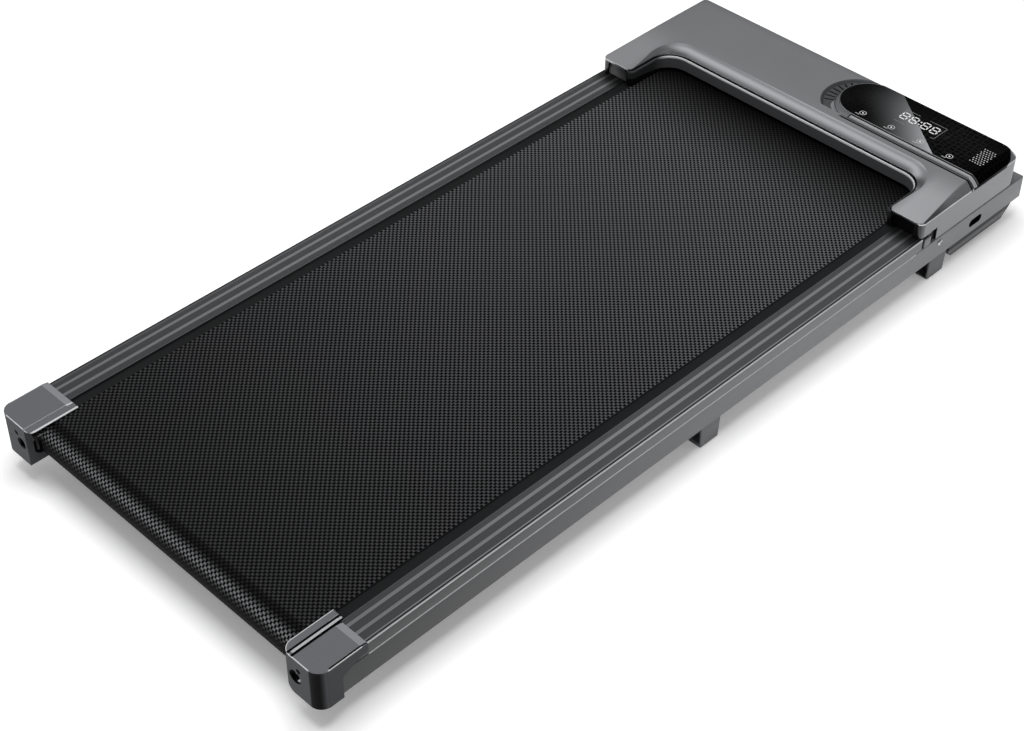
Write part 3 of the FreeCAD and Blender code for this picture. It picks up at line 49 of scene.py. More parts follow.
class Wire:  # one output socket, with arithmetic
    def __init__(self, graph, socket):
        self.graph = graph
        self.socket = socket

    def maths(self, operation, other=0.0, flipped=False):
        first, second = (other, self) if flipped else (self, other)
        return self.graph.make("ShaderNodeMath", {0: first, 1: second}, operation=operation)

    def __add__(self, other):
        return self.maths("ADD", other)

    def __sub__(self, other):
        return self.maths("SUBTRACT", other)

    def __rsub__(self, other):
        return self.maths("SUBTRACT", other, True)

    def __mul__(self, other):
        return self.maths("MULTIPLY", other)

    def __truediv__(self, other):
        return self.maths("DIVIDE", other)

    def __pow__(self, other):
        return self.maths("POWER", other)

    def __abs__(self):
        return self.maths("ABSOLUTE")

    __radd__ = __add__
    __rmul__ = __mul__

    def above(self, other):
        return self.maths("GREATER_THAN", other)

    def below(self, other):
        return self.maths("LESS_THAN", other)

    def between(self, low, high):
        return self.above(low) * self.below(high)

    def held(self, low=0.0, high=1.0):
        return self.maths("MAXIMUM", low).maths("MINIMUM", high)

    def ease(self, start, end):  # 0 at start, 1 at end, soft between
        share = ((self - start) / (end - start)).held()
        return share * share * (3.0 - 2.0 * share)

    def frayed(self, grain):  # a share that the grain roughens a little
        return (self + (grain - 0.5) * 0.1).held()


class Graph:  # a node tree with one way to add nodes
    def __init__(self, tree):
        self.tree = tree

    def feed(self, socket, value):
        if isinstance(value, Wire):
            self.tree.links.new(value.socket, socket)
        else:
            socket.default_value = value

    def make(self, kind, sockets=None, out=0, **settings):
        node = self.tree.nodes.new(kind)
        for key, value in settings.items():
            setattr(node, key, value)
        for key, value in (sockets or {}).items():
            self.feed(node.inputs[key], value)
        return Wire(self, node.outputs[out])

    def axes(self, vector):
        parts = self.make("ShaderNodeSeparateXYZ", {0: vector})
        return [Wire(self, output) for output in parts.socket.node.outputs]

    def tint(self, share, first, second):
        return self.make("ShaderNodeMix", {0: share, 6: linear(first), 7: linear(second)}, 2, data_type="RGBA")

    def layers(self, colour, *coats):  # each coat covers the colour where its mask is 1
        for mask, tone in coats:
            colour = self.tint(mask, colour, tone)
        return colour


class Finish(Graph):  # a procedural material, kept under its name
    def __init__(self, name, fixed):
        self.material = bpy.data.materials.new(name)
        self.material.use_nodes = True
        super().__init__(self.material.node_tree)
        self.shader = self.tree.nodes["Principled BSDF"]
        for key, value in fixed.items():
            self.shader.inputs[key].default_value = value
        finishes[name] = self

    def place(self, squeeze=(1, 1, 1)):  # Object coordinates, in millimetres
        spot = self.make("ShaderNodeTexCoord", None, "Object")
        spot = self.make("ShaderNodeVectorMath", {0: spot, "Scale": 1000.0}, operation="SCALE")
        return self.make("ShaderNodeVectorMath", {0: spot, 1: squeeze}, operation="MULTIPLY")

    def noise(self, size, detail=2.0, squeeze=(1, 1, 1)):
        return self.make("ShaderNodeTexNoise", {"Vector": self.place(squeeze), "Scale": 1.0 / size,
                                                "Detail": detail})

    def relief(self, height, strength, distance=0.05):
        return self.make("ShaderNodeBump", {"Strength": strength, "Distance": distance * mm, "Height": height})

    def show(self, colour, **ends):
        names = {"rough": "Roughness", "metal": "Metallic", "normal": "Normal", "glow": "Emission Color"}
        self.feed(self.shader.inputs["Base Color"], colour)
        for key, value in ends.items():
            self.feed(self.shader.inputs[names[key]], value)

    def grained(self, colour, grain, rough, spread=0.12, bump=0.1):  # uneven gloss over a fine grain
        self.show(colour, rough=rough + (grain - 0.5) * spread, normal=self.relief(grain, bump))


def flat(value):
    return (value, value, value, 1)


def linear(tone):  # a grey or a colour of 0-255 as seen; wires and linear colours pass
    if isinstance(tone, Wire) or (isinstance(tone, tuple) and len(tone) == 4):
        return tone
    values = tone if isinstance(tone, tuple) else (tone,) * 3
    return tuple((v / 255 / 12.92) if v < 10.3 else ((v / 255 + 0.055) / 1.055) ** 2.4 for v in values) + (1.0,)


def begin(name, fixed, *noise):  # a finish, its grain, and x, y and z in millimetres
    finish = Finish(name, fixed)
    return (finish, finish.noise(*noise), *finish.axes(finish.place()))


# A moulded, painted or cast surface: cloudy colour, fine grain, uneven gloss.
def surface(name, tones, rough, metal=0.0, specular=0.5, coat=0.0, cloud=60.0, grain=1.2, squeeze=(1, 1, 1),
            bump=0.08):
    finish = Finish(name, {"Metallic": metal, "Specular IOR Level": specular, "Coat Weight": coat,
                           "Coat Roughness": 0.1})
    grains = finish.noise(grain, 2.0, squeeze)
    mix = (finish.noise(cloud, 3.0) * 0.55 + grains * 0.45 - 0.5) * 1.6 + 0.5
    finish.show(finish.tint(mix.held(), *tones), rough=(rough + (grains - 0.5) * 0.12).held(0.03, 1.0),
                normal=finish.relief(grains, bump))


def shade(mesh, angle):
    mesh.polygons.foreach_set("use_smooth", [True] * len(mesh.polygons))
    mesh.set_sharp_from_angle(angle=math.radians(angle))
    mesh.update()


def newObject(name, data):
    piece = bpy.data.objects.new(name, data)
    scene.collection.objects.link(piece)
    return piece


def flatten(piece):  # modifiers become plain mesh
    bpy.context.view_layer.update()
    made = bpy.data.meshes.new_from_object(piece.evaluated_get(bpy.context.evaluated_depsgraph_get()))
    piece.modifiers.clear()
    piece.data = made
    made.name = piece.name
    return piece


def modify(piece, kind, **settings):
    modifier = piece.modifiers.new(kind.lower(), kind)
    for key, value in settings.items():
        setattr(modifier, key, value)
    return flatten(piece)


def meshOf(shape, name):
    mesh = bpy.data.meshes.new(name)
    shape.to_mesh(mesh)
    shape.free()
    return mesh


def build(name, points, faces, looks, bands=None):  # points in millimetres; bands: each face's look
    shape = bmesh.new()
    corners = [shape.verts.new(Vector(p) * mm) for p in points]
    for face, band in zip(faces, bands or [0] * len(faces)):
        shape.faces.new([corners[i] for i in face]).material_index = band
    bmesh.ops.remove_doubles(shape, verts=shape.verts, dist=1e-6)
    bmesh.ops.recalc_face_normals(shape, faces=shape.faces)
    piece = newObject(name, meshOf(shape, name))
    for look in (looks,) if isinstance(looks, str) else looks:
        piece.data.materials.append(finishes[look].material)
    return piece


def sweep(name, rings, looks, angle=30, bands=None):  # rings joined in order, both ends filled
    size, count = len(rings[0]), len(rings)
    faces = [(r * size + s, r * size + (s + 1) % size, (r + 1) * size + (s + 1) % size, (r + 1) * size + s)
             for r in range(count - 1) for s in range(size)]
    faces += [range(size), range((count - 1) * size, count * size)]
    piece = build(name, [p for ring in rings for p in ring], faces, looks, bands and bands * (count - 1) + [0, 0])
    shade(piece.data, angle)
    return piece


def prism(name, outline, axis, ends, look, angle=30):  # an outline across one axis, drawn along it
    return sweep(name, [[(*spot[:axis], end, *spot[axis:]) for spot in outline] for end in ends], look, angle)


def box(name, first, second, look):  # between two opposite corners
    points = list(product(*(sorted(pair) for pair in zip(first, second))))
    faces = [(0, 1, 3, 2), (4, 6, 7, 5), (0, 4, 5, 1), (2, 3, 7, 6), (0, 2, 6, 4), (1, 5, 7, 3)]
    return build(name, points, faces, look)


def lathe(name, profile, look, steps, x=0.0, y=0.0):  # profile: closed (radius, height) about an upright axis
    count = len(profile)
    turns = [2 * math.pi * step / steps for step in range(steps)]
    points = [(x + r * math.cos(a), y + r * math.sin(a), z) for a in turns for r, z in profile]
    rows = [i for i in range(count) if profile[i][0] or profile[i - 1][0]]  # no face along the axis itself
    faces = [(s + i, s + (i - 1) % count, t + (i - 1) % count, t + i)
             for s, t in ((step * count, (step + 1) % steps * count) for step in range(steps)) for i in rows]
    return build(name, points, faces, look)


def toward(first, last, t):  # a point on the way from first to last
    return tuple(a + (b - a) * t for a, b in zip(first, last))


def bend(first, corner, last, steps=4):  # a rounded corner between two points
    shares = [step / steps for step in range(steps + 1)]
    return [tuple(a * (1 - t) ** 2 + 2 * c * t * (1 - t) + b * t * t for a, c, b in zip(first, corner, last))
            for t in shares]


def arc(x, y, radius, start, end, steps):  # points round a centre, angles in degrees
    turns = [math.radians(start + (end - start) * step / steps) for step in range(steps + 1)]
    return [(x + radius * math.cos(a), y + radius * math.sin(a)) for a in turns]


def rectangle(x0, y0, x1, y1, radius=0.0, steps=0):
    if not radius:
        return [(x0, y0), (x1, y0), (x1, y1), (x0, y1)]
    hearts = rectangle(x0 + radius, y0 + radius, x1 - radius, y1 - radius)
    return [spot for turn, (x, y) in enumerate(hearts)
            for spot in arc(x, y, radius, 180 + 90 * turn, 270 + 90 * turn, steps)]


def settle(piece, slot, *nodes):
    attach(piece, "chassis")
    if nodes:
        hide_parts(*nodes)


# A copy of a CAD solid, whose chosen edges are rounded.
def rounded(name, node, look, width, edgeTest=None, angle=32):
    leastAngle, flatAngle = math.radians(35), math.radians(0.4)
    shape = bmesh.new()
    shape.from_mesh(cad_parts[node].data)
    bmesh.ops.remove_doubles(shape, verts=shape.verts, dist=3e-6)
    bmesh.ops.dissolve_limit(shape, angle_limit=flatAngle, verts=shape.verts, edges=shape.edges)
    weights = shape.edges.layers.float.new("bevel_weight_edge")
    for edge in shape.edges:
        if len(edge.link_faces) == 2 and edge.calc_face_angle(0.0) > leastAngle:
            if edgeTest is None or edgeTest(edge.verts[0].co / mm, edge.verts[1].co / mm):
                edge[weights] = 1.0
    piece = newObject(name, meshOf(shape, name))
    piece.data.materials.append(finishes[look].material)
    modify(piece, "BEVEL", limit_method="WEIGHT", width=width * mm, segments=3, use_clamp_overlap=True)
    shade(piece.data, angle)
    return piece


def carve(piece, *cutters):
    for cutter in cutters:
        modify(piece, "BOOLEAN", operation="DIFFERENCE", solver="EXACT", material_mode="TRANSFER", object=cutter)
        bpy.data.objects.remove(cutter)


def joined(name, *pieces):
    shape, materials = bmesh.new(), []
    for piece in pieces:
        own = list(piece.data.materials)
        for face in piece.data.polygons:
            material = own[face.material_index]
            if material not in materials:
                materials.append(material)
            face.material_index = materials.index(material)
        shape.from_mesh(piece.data)
        bpy.data.objects.remove(piece)
    mesh = meshOf(shape, name)
    for material in materials:
        mesh.materials.append(material)
    return newObject(name, mesh)


def evenSides(mesh):  # all faces look outwards
    shape = bmesh.new()
    shape.from_mesh(mesh)
    bmesh.ops.recalc_face_normals(shape, faces=shape.faces)
    shape.to_mesh(mesh)
    shape.free()


def newTree(name, **inputs):
    graph = Graph(bpy.data.node_groups.new(name, "GeometryNodeTree"))
    face = graph.tree.interface
    for label, kind in {"Geometry": "Geometry", **inputs, "Finish": "Material"}.items():
        face.new_socket(label, in_out="INPUT", socket_type="NodeSocket" + kind)
    face.new_socket("Geometry", in_out="OUTPUT", socket_type="NodeSocketGeometry")
    entry = graph.tree.nodes.new("NodeGroupInput")
    graph.ins = {socket.name: Wire(graph, socket) for socket in entry.outputs if socket.name}
    return graph


def closeTree(graph, geometry):
    real = graph.make("GeometryNodeRealizeInstances", {0: geometry})
    dressed = graph.make("GeometryNodeSetMaterial", {0: real, "Material": graph.ins["Finish"]})
    graph.feed(graph.tree.nodes.new("NodeGroupOutput").inputs[0], dressed)
    return graph


def grow(name, graph, look, values, mesh=None):  # whole numbers are counts, the others millimetres
    piece = newObject(name, mesh or bpy.data.meshes.new(name))
    modifier = piece.modifiers.new("grow", "NODES")
    modifier.node_group = graph.tree
    values = {**values, "Finish": finishes[look].material}
    for item in graph.tree.interface.items_tree:
        if item.in_out == "INPUT" and item.name in values:
            value = values[item.name]
            modifier[item.identifier] = value * mm if isinstance(value, float) else value
    return flatten(piece)


# Copies of a mould on the vertices of a mesh, each turned about Z by its own angle.
def scatterTree():
    graph = newTree("scatter", Mould="Object")
    mould = graph.make("GeometryNodeObjectInfo", {"Object": graph.ins["Mould"]}, "Geometry")
    turn = graph.make("GeometryNodeInputNamedAttribute", {"Name": "turn"}, data_type="FLOAT")
    spin = graph.make("ShaderNodeCombineXYZ", {2: turn})
    return closeTree(graph, graph.make("GeometryNodeInstanceOnPoints", {
        "Points": graph.ins["Geometry"], "Instance": mould, "Rotation": spin}))


scatterGraph = scatterTree()


def scatter(name, mould, places, look, angle=30):  # places: (x, y, z, turn in degrees), millimetres
    mesh = bpy.data.meshes.new(name)
    mesh.from_pydata([Vector(p[:3]) * mm for p in places], [], [])
    turns = mesh.attributes.new("turn", "FLOAT", "POINT")
    turns.data.foreach_set("value", [math.radians(p[3]) for p in places])
    piece = grow(name, scatterGraph, look, {"Mould": mould}, mesh)
    bpy.data.objects.remove(mould)
    shade(piece.data, angle)
    return piece


# A round bead along a path.
def beadTree():
    graph = newTree("bead", Radius="Float", Sides="Int")
    path = graph.make("GeometryNodeMeshToCurve", {0: graph.ins["Geometry"]})
    ring = graph.make("GeometryNodeCurvePrimitiveCircle",
                      {"Resolution": graph.ins["Sides"], "Radius": graph.ins["Radius"]})
    return closeTree(graph, graph.make("GeometryNodeCurveToMesh", {
        "Curve": path, "Profile Curve": ring, "Fill Caps": True}))


beadGraph = beadTree()


def bead(name, path, radius, look, around=10):
    mesh = bpy.data.meshes.new(name)
    mesh.from_pydata([Vector(p) * mm for p in path], [(i, i + 1) for i in range(len(path) - 1)], [])
    piece = grow(name, beadGraph, look, {"Radius": radius, "Sides": around}, mesh)
    evenSides(piece.data)
    shade(piece.data, 50)
    return piece


# Plain finishes: two tones of 0-255 as seen, gloss, and the sizes of cloud and grain in millimetres.
looks = {
    "blackPlastic": dict(tones=(26, 34), rough=0.5, grain=0.8, bump=0.15),
    # lipBlack: near-black painted shade on grooves, slots, holes, notches, hollows and the right arm's front plate
    "lipBlack": dict(tones=(14, 20), rough=0.5, specular=0.2, grain=0.8, bump=0.1),
    "deckBoard": dict(tones=((18, 19, 20), (26, 27, 28)), rough=0.65, specular=0.2, grain=1.6, bump=0.2,
                      squeeze=(1, 0.15, 1)),
    "footRubber": dict(tones=((116, 117, 119), (128, 129, 131)), rough=0.7, grain=0.6, bump=0.25),
    "wheelRubber": dict(tones=(40, 52), rough=0.65, grain=0.6, bump=0.25),
    "steel": dict(tones=((168, 170, 172), (190, 191, 193)), metal=1.0, rough=0.3, grain=0.5, squeeze=(0.1, 1, 1),
                  bump=0.05),
    "zincSteel": dict(tones=((176, 178, 180), (206, 207, 208)), metal=1.0, rough=0.28, grain=2.0, cloud=8.0,
                      bump=0.05),
    "trimSilver": dict(tones=((150, 151, 153), (172, 173, 175)), metal=1.0, rough=0.24, grain=0.4, bump=0.04),
    "circuitGreen": dict(tones=((22, 66, 40), (34, 92, 56)), rough=0.4, cloud=5.0, grain=1.5),
    "digitGlass": dict(tones=((24, 26, 30), (34, 36, 42)), rough=0.15, bump=0.02),
    "speakerBlack": dict(tones=(22, 36), rough=0.6, grain=0.8, bump=0.3),
    "motorPaint": dict(tones=((34, 35, 38), (48, 49, 52)), rough=0.4, grain=0.8, coat=0.2),
    "motorAlloy": dict(tones=((150, 152, 155), (182, 183, 185)), metal=1.0, rough=0.42, grain=0.9, bump=0.2),
    "sinkAlloy": dict(tones=((160, 162, 165), (186, 188, 190)), metal=1.0, rough=0.35, grain=0.6,
                      squeeze=(1, 0.1, 1)),
    "driveRubber": dict(tones=(24, 36), rough=0.7, grain=0.7, bump=0.3),
    "capacitorSleeve": dict(tones=((30, 44, 84), (40, 58, 106)), rough=0.3, coat=0.3),
    "buttonRed": dict(tones=((166, 26, 24), (188, 36, 30)), rough=0.35, bump=0.05),
    # ribSilver: pale silver, also on thin beads that are painted edge highlights
    "ribSilver": dict(tones=((188, 189, 191), (206, 207, 209)), metal=0.4, rough=0.32, grain=0.4),
    "collarGrey": dict(tones=((112, 113, 116), (126, 127, 130)), metal=0.7, rough=0.28, grain=0.4),
    # tongueGrey: a painted highlight
    "tongueGrey": dict(tones=((142, 143, 146), (156, 157, 160)), metal=0.4, rough=0.3, grain=0.4),
    # dishGrey: painted shade in the hood's dish
    "dishGrey": dict(tones=((66, 67, 70), (76, 77, 80)), metal=0.3, rough=0.4, grain=0.5),
    "printWhite": dict(tones=(238, 248), rough=0.5, bump=0.02),
    "printGrey": dict(tones=(176, 190), rough=0.5, bump=0.02),
    "printDim": dict(tones=(132, 146), rough=0.5, bump=0.02),
}
for lookName, look in looks.items():
    surface(lookName, **look)
print("plain finishes:", len(looks))


# wrapTones: greys by angle round the rear roller, a painted highlight part way round and painted shade below it
beltForm = Form(
    width=400.0, rearY=-527.0, frontY=445.0, axleZ=54.6, radius=22.9, thickness=1.6, period=6.3, depth=0.5,
    wrapTones=((0.0, 0.08), (0.06, 0.04), (0.12, 0.04), (0.17, 0.22), (0.25, 0.95), (0.30, 1.0), (0.35, 0.4),
        (0.40, 0.17), (0.45, 0.015), (0.52, 0.0)))


# Woven rubber: a light net of threads round black pits, with a painted highlight and painted shade round the rear
# roller, and painted shade towards both ends.
def beltWeave():
    b = beltForm
    finish, fibre, _, y, z = begin("beltWeave", {"Specular IOR Level": 0.06}, 0.5)
    across, along, _ = finish.axes(finish.make("ShaderNodeAttribute", None, "Vector", attribute_name="weave"))
    turn = 2 * math.pi * 1000 / b.period

    def wave(angle):
        return angle.maths("COSINE") * 0.5 + 0.5

    row = (across - along) * turn + math.pi
    slant = (across + along) * turn + math.pi + row.maths("SINE") * 0.6
    pit = (wave(slant) + wave(row)).ease(0.75, 1.2)
    light = ((1.0 - pit) * (0.7 + 0.3 * wave(slant + math.pi))).frayed(fibre)
    rear = y.below(b.rearY) * z.above(31.0)
    around = (b.rearY - y).maths("ARCTAN2", z - b.axleZ) / math.pi  # 0 on top, 0.5 at the back
    wrapLight = finish.make("ShaderNodeValToRGB", {0: around})
    stops = wrapLight.socket.node.color_ramp.elements
    while len(stops) < len(b.wrapTones):
        stops.new(0.5)
    for stop, (place, grey) in zip(stops, b.wrapTones):
        stop.position = place
        stop.color = flat(grey)
    # painted shade: darker towards the rear, where less light falls
    tone = 0.262 + 0.674 * ((y + 520.0) / 720.0).held() ** 1.25  # darker towards both ends
    # painted shadow of the hood's lip over the belt's front end
    tone = tone * (1.0 - 0.96 * y.ease(285.0, 425.0))
    tone = tone * (1.0 - rear) + rear * wrapLight
    # threads paler on the rear roller: painted highlight
    threadWithWrapHighlight = finish.tint(rear, (98, 99, 101), (134, 135, 137))
    finish.show(finish.tint(tone * light, 1, threadWithWrapHighlight), rough=0.66 - light * 0.12,
                normal=finish.relief(fibre, 0.25, 0.08))


# A grid laid round both rollers: a pitted face, a plain back and two edges.
def beltTree():
    lengths = ("Width", "Rear", "Front", "Axle", "Radius", "Thickness", "Depth", "Length")
    graph = newTree("weaveLoop", **dict.fromkeys(lengths, "Float"), Columns="Int", Rows="Int")
    ins = graph.ins
    straight = ins["Front"] - ins["Rear"]
    wrap = ins["Radius"] * math.pi
    inner = ins["Radius"] - ins["Thickness"]

    def loop(columns, place):
        grid = graph.make("GeometryNodeMeshGrid", {"Size X": 1.0, "Size Y": ins["Length"],
                                                   "Vertices X": columns, "Vertices Y": ins["Rows"]})
        u, v, _ = graph.axes(graph.make("GeometryNodeInputPosition"))
        lie = v + ins["Length"] * 0.5
        row = (lie / ins["Length"] * (ins["Rows"] - 1.0)).maths("ROUND")
        travel = (lie + straight * 1.5 + wrap).maths("FLOORED_MODULO", ins["Length"])  # joined underneath
        x, radius = place(u + 0.5, row)
        out = travel.held(0.0, straight)
        home = (travel - straight - wrap).held(0.0, straight)
        first = (travel - straight).held(0.0, wrap)
        second = (travel - straight * 2.0 - wrap).held(0.0, wrap)
        turn = (first + second) / ins["Radius"]
        y = ins["Rear"] + out - home + radius * turn.maths("SINE")
        z = ins["Axle"] + radius * turn.maths("COSINE")
        cloth = graph.make("ShaderNodeCombineXYZ", {0: x, 1: lie})
        kept = graph.make("GeometryNodeStoreNamedAttribute", {"Geometry": grid, "Name": "weave", "Value": cloth},
                          data_type="FLOAT_VECTOR", domain="POINT")
        spot = graph.make("ShaderNodeCombineXYZ", {0: x, 1: y, 2: z})
        laid = graph.make("GeometryNodeSetPosition", {"Geometry": kept, "Position": spot})
        return graph.make("GeometryNodeTriangulate", {0: laid}, quad_method="FIXED_ALTERNATE")

    def outer(column, row):  # every second vertex is pressed in
        return ins["Radius"] - (row + column).maths("FLOORED_MODULO", 2.0) * ins["Depth"]

    def face(share, row):
        return (share - 0.5) * ins["Width"], outer((share * (ins["Columns"] - 1.0)).maths("ROUND"), row)

    def back(share, row):
        return (share - 0.5) * ins["Width"], inner

    def edge(side, column):
        def place(share, row):
            start = outer(column, row)
            return ins["Width"] * side, start + (inner - start) * share
        return place

    join = graph.tree.nodes.new("GeometryNodeJoinGeometry")
    for columns, place in ((ins["Columns"], face), (2, back), (2, edge(-0.5, 0.0)),
                           (2, edge(0.5, ins["Columns"] - 1.0))):
        graph.tree.links.new(loop(columns, place).socket, join.inputs[0])
    whole = Wire(graph, join.outputs[0])
    return closeTree(graph, graph.make("GeometryNodeMergeByDistance", {"Geometry": whole, "Distance": 0.00002}))


def makeBelt():
    beltWeave()
    b = beltForm
    length = 2 * (b.frontY - b.rearY) + 2 * math.pi * b.radius
    half = b.period / 2
    piece = grow("walkingBelt", beltTree(), "beltWeave", {
        "Width": b.width, "Rear": b.rearY, "Front": b.frontY, "Axle": b.axleZ, "Radius": b.radius,
        "Thickness": b.thickness, "Depth": b.depth, "Length": length,
        "Columns": round(b.width / half) + 1, "Rows": 2 * round(length / half / 2) + 1})
    evenSides(piece.data)
    shade(piece.data, 60)
    settle(piece, "belt_weave", "walking_belt")
    print("belt:", len(piece.data.polygons), "faces")


makeBelt()


def hollow(form, side, look):  # what empties a rail or a tube
    wall, past = form.wall, 5.0
    return box("core", (side * (form.inner + wall), form.rear - past, form.low + wall),
               (side * (form.outer - wall), form.front + past, form.top - wall), look)


railForm = Form(
    inner=213.5, outer=250.0, low=62.0, top=78.0, rear=-546.3, front=359.0, plain=((7.0, 10.8), (19.8, 23.5)),
    leftShift=1.8, ribStart=0.9, ribEnd=32.4, pitch=1.45, groove=0.4, edge=34.2, edgeDepth=0.7, wall=2.0,
    notch=((244.0, 354.6, 61.0), (251.0, 360.0, 79.0)))


# Anodised rail: dark ribbed bands, lighter plain bands, fine drawing lines along Y; a painted highlight along the
# outer top edge, painted shade in the groove floors, towards the rear, and a painted shadow beside the hood.
def railMetal():
    r = railForm
    finish, lines, x, y, z = begin("railMetal", {"Metallic": 0.6}, 0.5, 2.0, (1, 0.01, 1))
    out = abs(x)
    inset = out - r.inner - x.below(0.0) * r.leftShift
    first, second = r.plain
    plain = (inset.between(*first) + inset.between(*second) + inset.above(r.ribEnd)).held()
    top = z.above(76.4)
    # painted shade: the side darker towards the rear
    side = finish.tint(y.ease(-560.0, 200.0), (58, 59, 60), (105, 106, 108))
    pale = finish.tint(lines, (130, 131, 133), (142, 143, 145))
    dark = finish.tint(lines, (93, 94, 96), (105, 106, 108))
    # painted shade on the groove floors
    dark = finish.tint(z.below(r.top - 0.3), dark, (76, 77, 79))
    # painted shade: the top darker towards the rear, and a painted shadow of the hood beside it
    paintedShade = (0.78 + 0.22 * y.ease(-560.0, -60.0)) * (1.0 - 0.85 * y.ease(322.0, 347.0))  # dark beside the hood
    face = finish.tint(paintedShade, 3, finish.tint(plain, dark, pale))
    # painted shade in the groove near the outer edge
    groove = out.between(247.6, 249.3) * top
    # painted highlight along the outer top edge
    cut = out.above(r.outer - 0.7) * z.above(r.top - 2.2)
    finish.show(finish.layers(side, (top, face), (groove, 44), (cut, (180, 181, 183))),
                rough=0.36 + (lines - 0.5) * 0.2, normal=finish.relief(lines, 0.1, 0.03))


def makeRails():
    railMetal()
    r = railForm
    inner, outer, low, top = r.inner, r.outer, r.low, r.top

    def groove(x, slope, floor, depth):
        return [(x, top), (x + slope, top - depth), (x + slope + floor, top - depth), (x + 2 * slope + floor, top)]

    for word, side in sides.items():
        shift = r.leftShift if side < 0 else 0.0
        (first, second), (third, fourth) = [[place + shift for place in band] for band in r.plain]
        outline = [(inner, low)] + bend((inner, top - 0.8), (inner, top), (inner + 0.5, top), 3)
        for start, end in ((r.ribStart, first), (second, third), (fourth, r.ribEnd)):
            for step in range(int((end - start) / r.pitch)):
                outline += groove(inner + start + r.pitch * step + 0.5, 0.15, 0.35, r.groove)
        outline += groove(inner + r.edge, 0.3, 0.7, r.edgeDepth)
        outline += bend((outer - 0.9, top), (outer, top), (outer, top - 1.2), 5)
        outline += bend((outer, low + 0.6), (outer, low), (outer - 0.6, low), 3)
        rail = prism(word + "Rail", [(side * x, z) for x, z in outline], 1, (r.rear, r.front), "railMetal", 40)
        near, far = [(side * x, y, z) for x, y, z in r.notch]
        carve(rail, hollow(r, side, "railMetal"), box("notch", near, far, "lipBlack"))
        shade(rail.data, 40)
        settle(rail, "rail_metal", word + "_foot_rail")
    print("rails made")


makeRails()


tubeForm = Form(
    inner=225.0, outer=250.0, low=31.0, top=62.0, rear=-546.3, front=562.0, wall=1.5, corner=1.8, slotY=466.0,
    slotZ=46.0, slotLength=25.0, slotHeight=10.5, sleeve=((243.5, 447.0, 33.4), (245.5, 489.0, 59.5)))


# Painted tube: fine grain, with painted shade making it darker towards the rear and paler towards the motor, and a
# painted highlight along its top edge.
def framePaint():
    finish, grain, x, y, z = begin("framePaint", {"Metallic": 0.3}, 0.9)
    # painted light: darker towards the rear, paler towards the motor
    colour = finish.tint(y.ease(-640.0, 300.0).frayed(grain), (42, 43, 44), (122, 123, 126))
    edgeHighlight = abs(x).above(248.6) * z.between(60.3, 63.0) * y.between(-499.0, 345.0)
    finish.grained(finish.tint(edgeHighlight, colour, (205, 206, 208)), grain, 0.4)


def makeTubes():
    framePaint()
    t = tubeForm
    outline = rectangle(t.inner, t.low, t.outer, t.top, t.corner, 5)
    for word, side in sides.items():
        tube = prism(word + "Tube", [(side * x, z) for x, z in outline], 1, (t.rear, t.front), "framePaint", 40)
        carve(tube, hollow(t, side, "lipBlack"))
        if side > 0:  # the obround window, with a dark sleeve behind it
            half, radius = t.slotLength / 2, t.slotHeight / 2
            plan = rectangle(t.slotY - half, t.slotZ - radius, t.slotY + half, t.slotZ + radius,
                             radius - 0.01, 10)
            carve(tube, prism("slot", plan, 0, (t.outer - 4, t.outer + 5), "lipBlack"))
            # painted shade: the black sleeve darkens the window
            tube = joined("rightTube", tube, box("sleeve", *t.sleeve, "lipBlack"))
        shade(tube.data, 40)
        settle(tube, "frame_paint", word + "_frame_tube")
    print("tubes made")


makeTubes()


hoodForm = Form(
    half=249.0, front=349.0, back=547.0, armInner=199.0, lipY=420.0, innerCorner=28.0, backCorner=14.0,
    armCorner=8.0, tipCorner=6.0, lipZ=99.0, topZ=109.0, rampEndZ=100.0, rampLength=84.0, ledge=2.0, bevelRun=21.0,
    bulge=2.0, sideRun=9.0, wall=2.5, wallZ=94.0, skirtZ=62.0, railGapZ=78.6, beltGapZ=82.0, notchY=373.0,
    beltGapY=400.0, notch=((245.0, 372.0, 60.0), (252.0, 383.5, 79.6)),
    backing=((243.0, 356.0, 62.3), (246.2, 386.0, 84.0)), frontPlate=((206.5, 353.0, 78.6), (240.0, 355.0, 97.6)),
    frontEdge=((206.0, 349.1, 99.95), (240.5, 349.1, 99.95)), edgeRadius=0.5, smooth=7.5, bevelStart=3.7,
    lipProfile=((0, 3.0), (0.1, 1.5), (0.4, 0.45), (0.85, 0.1), (1.3, 0.4), (1.6, 1.2), (1.7, 2.4), (3.2, 2.4),
        (3.6, 0.2)))


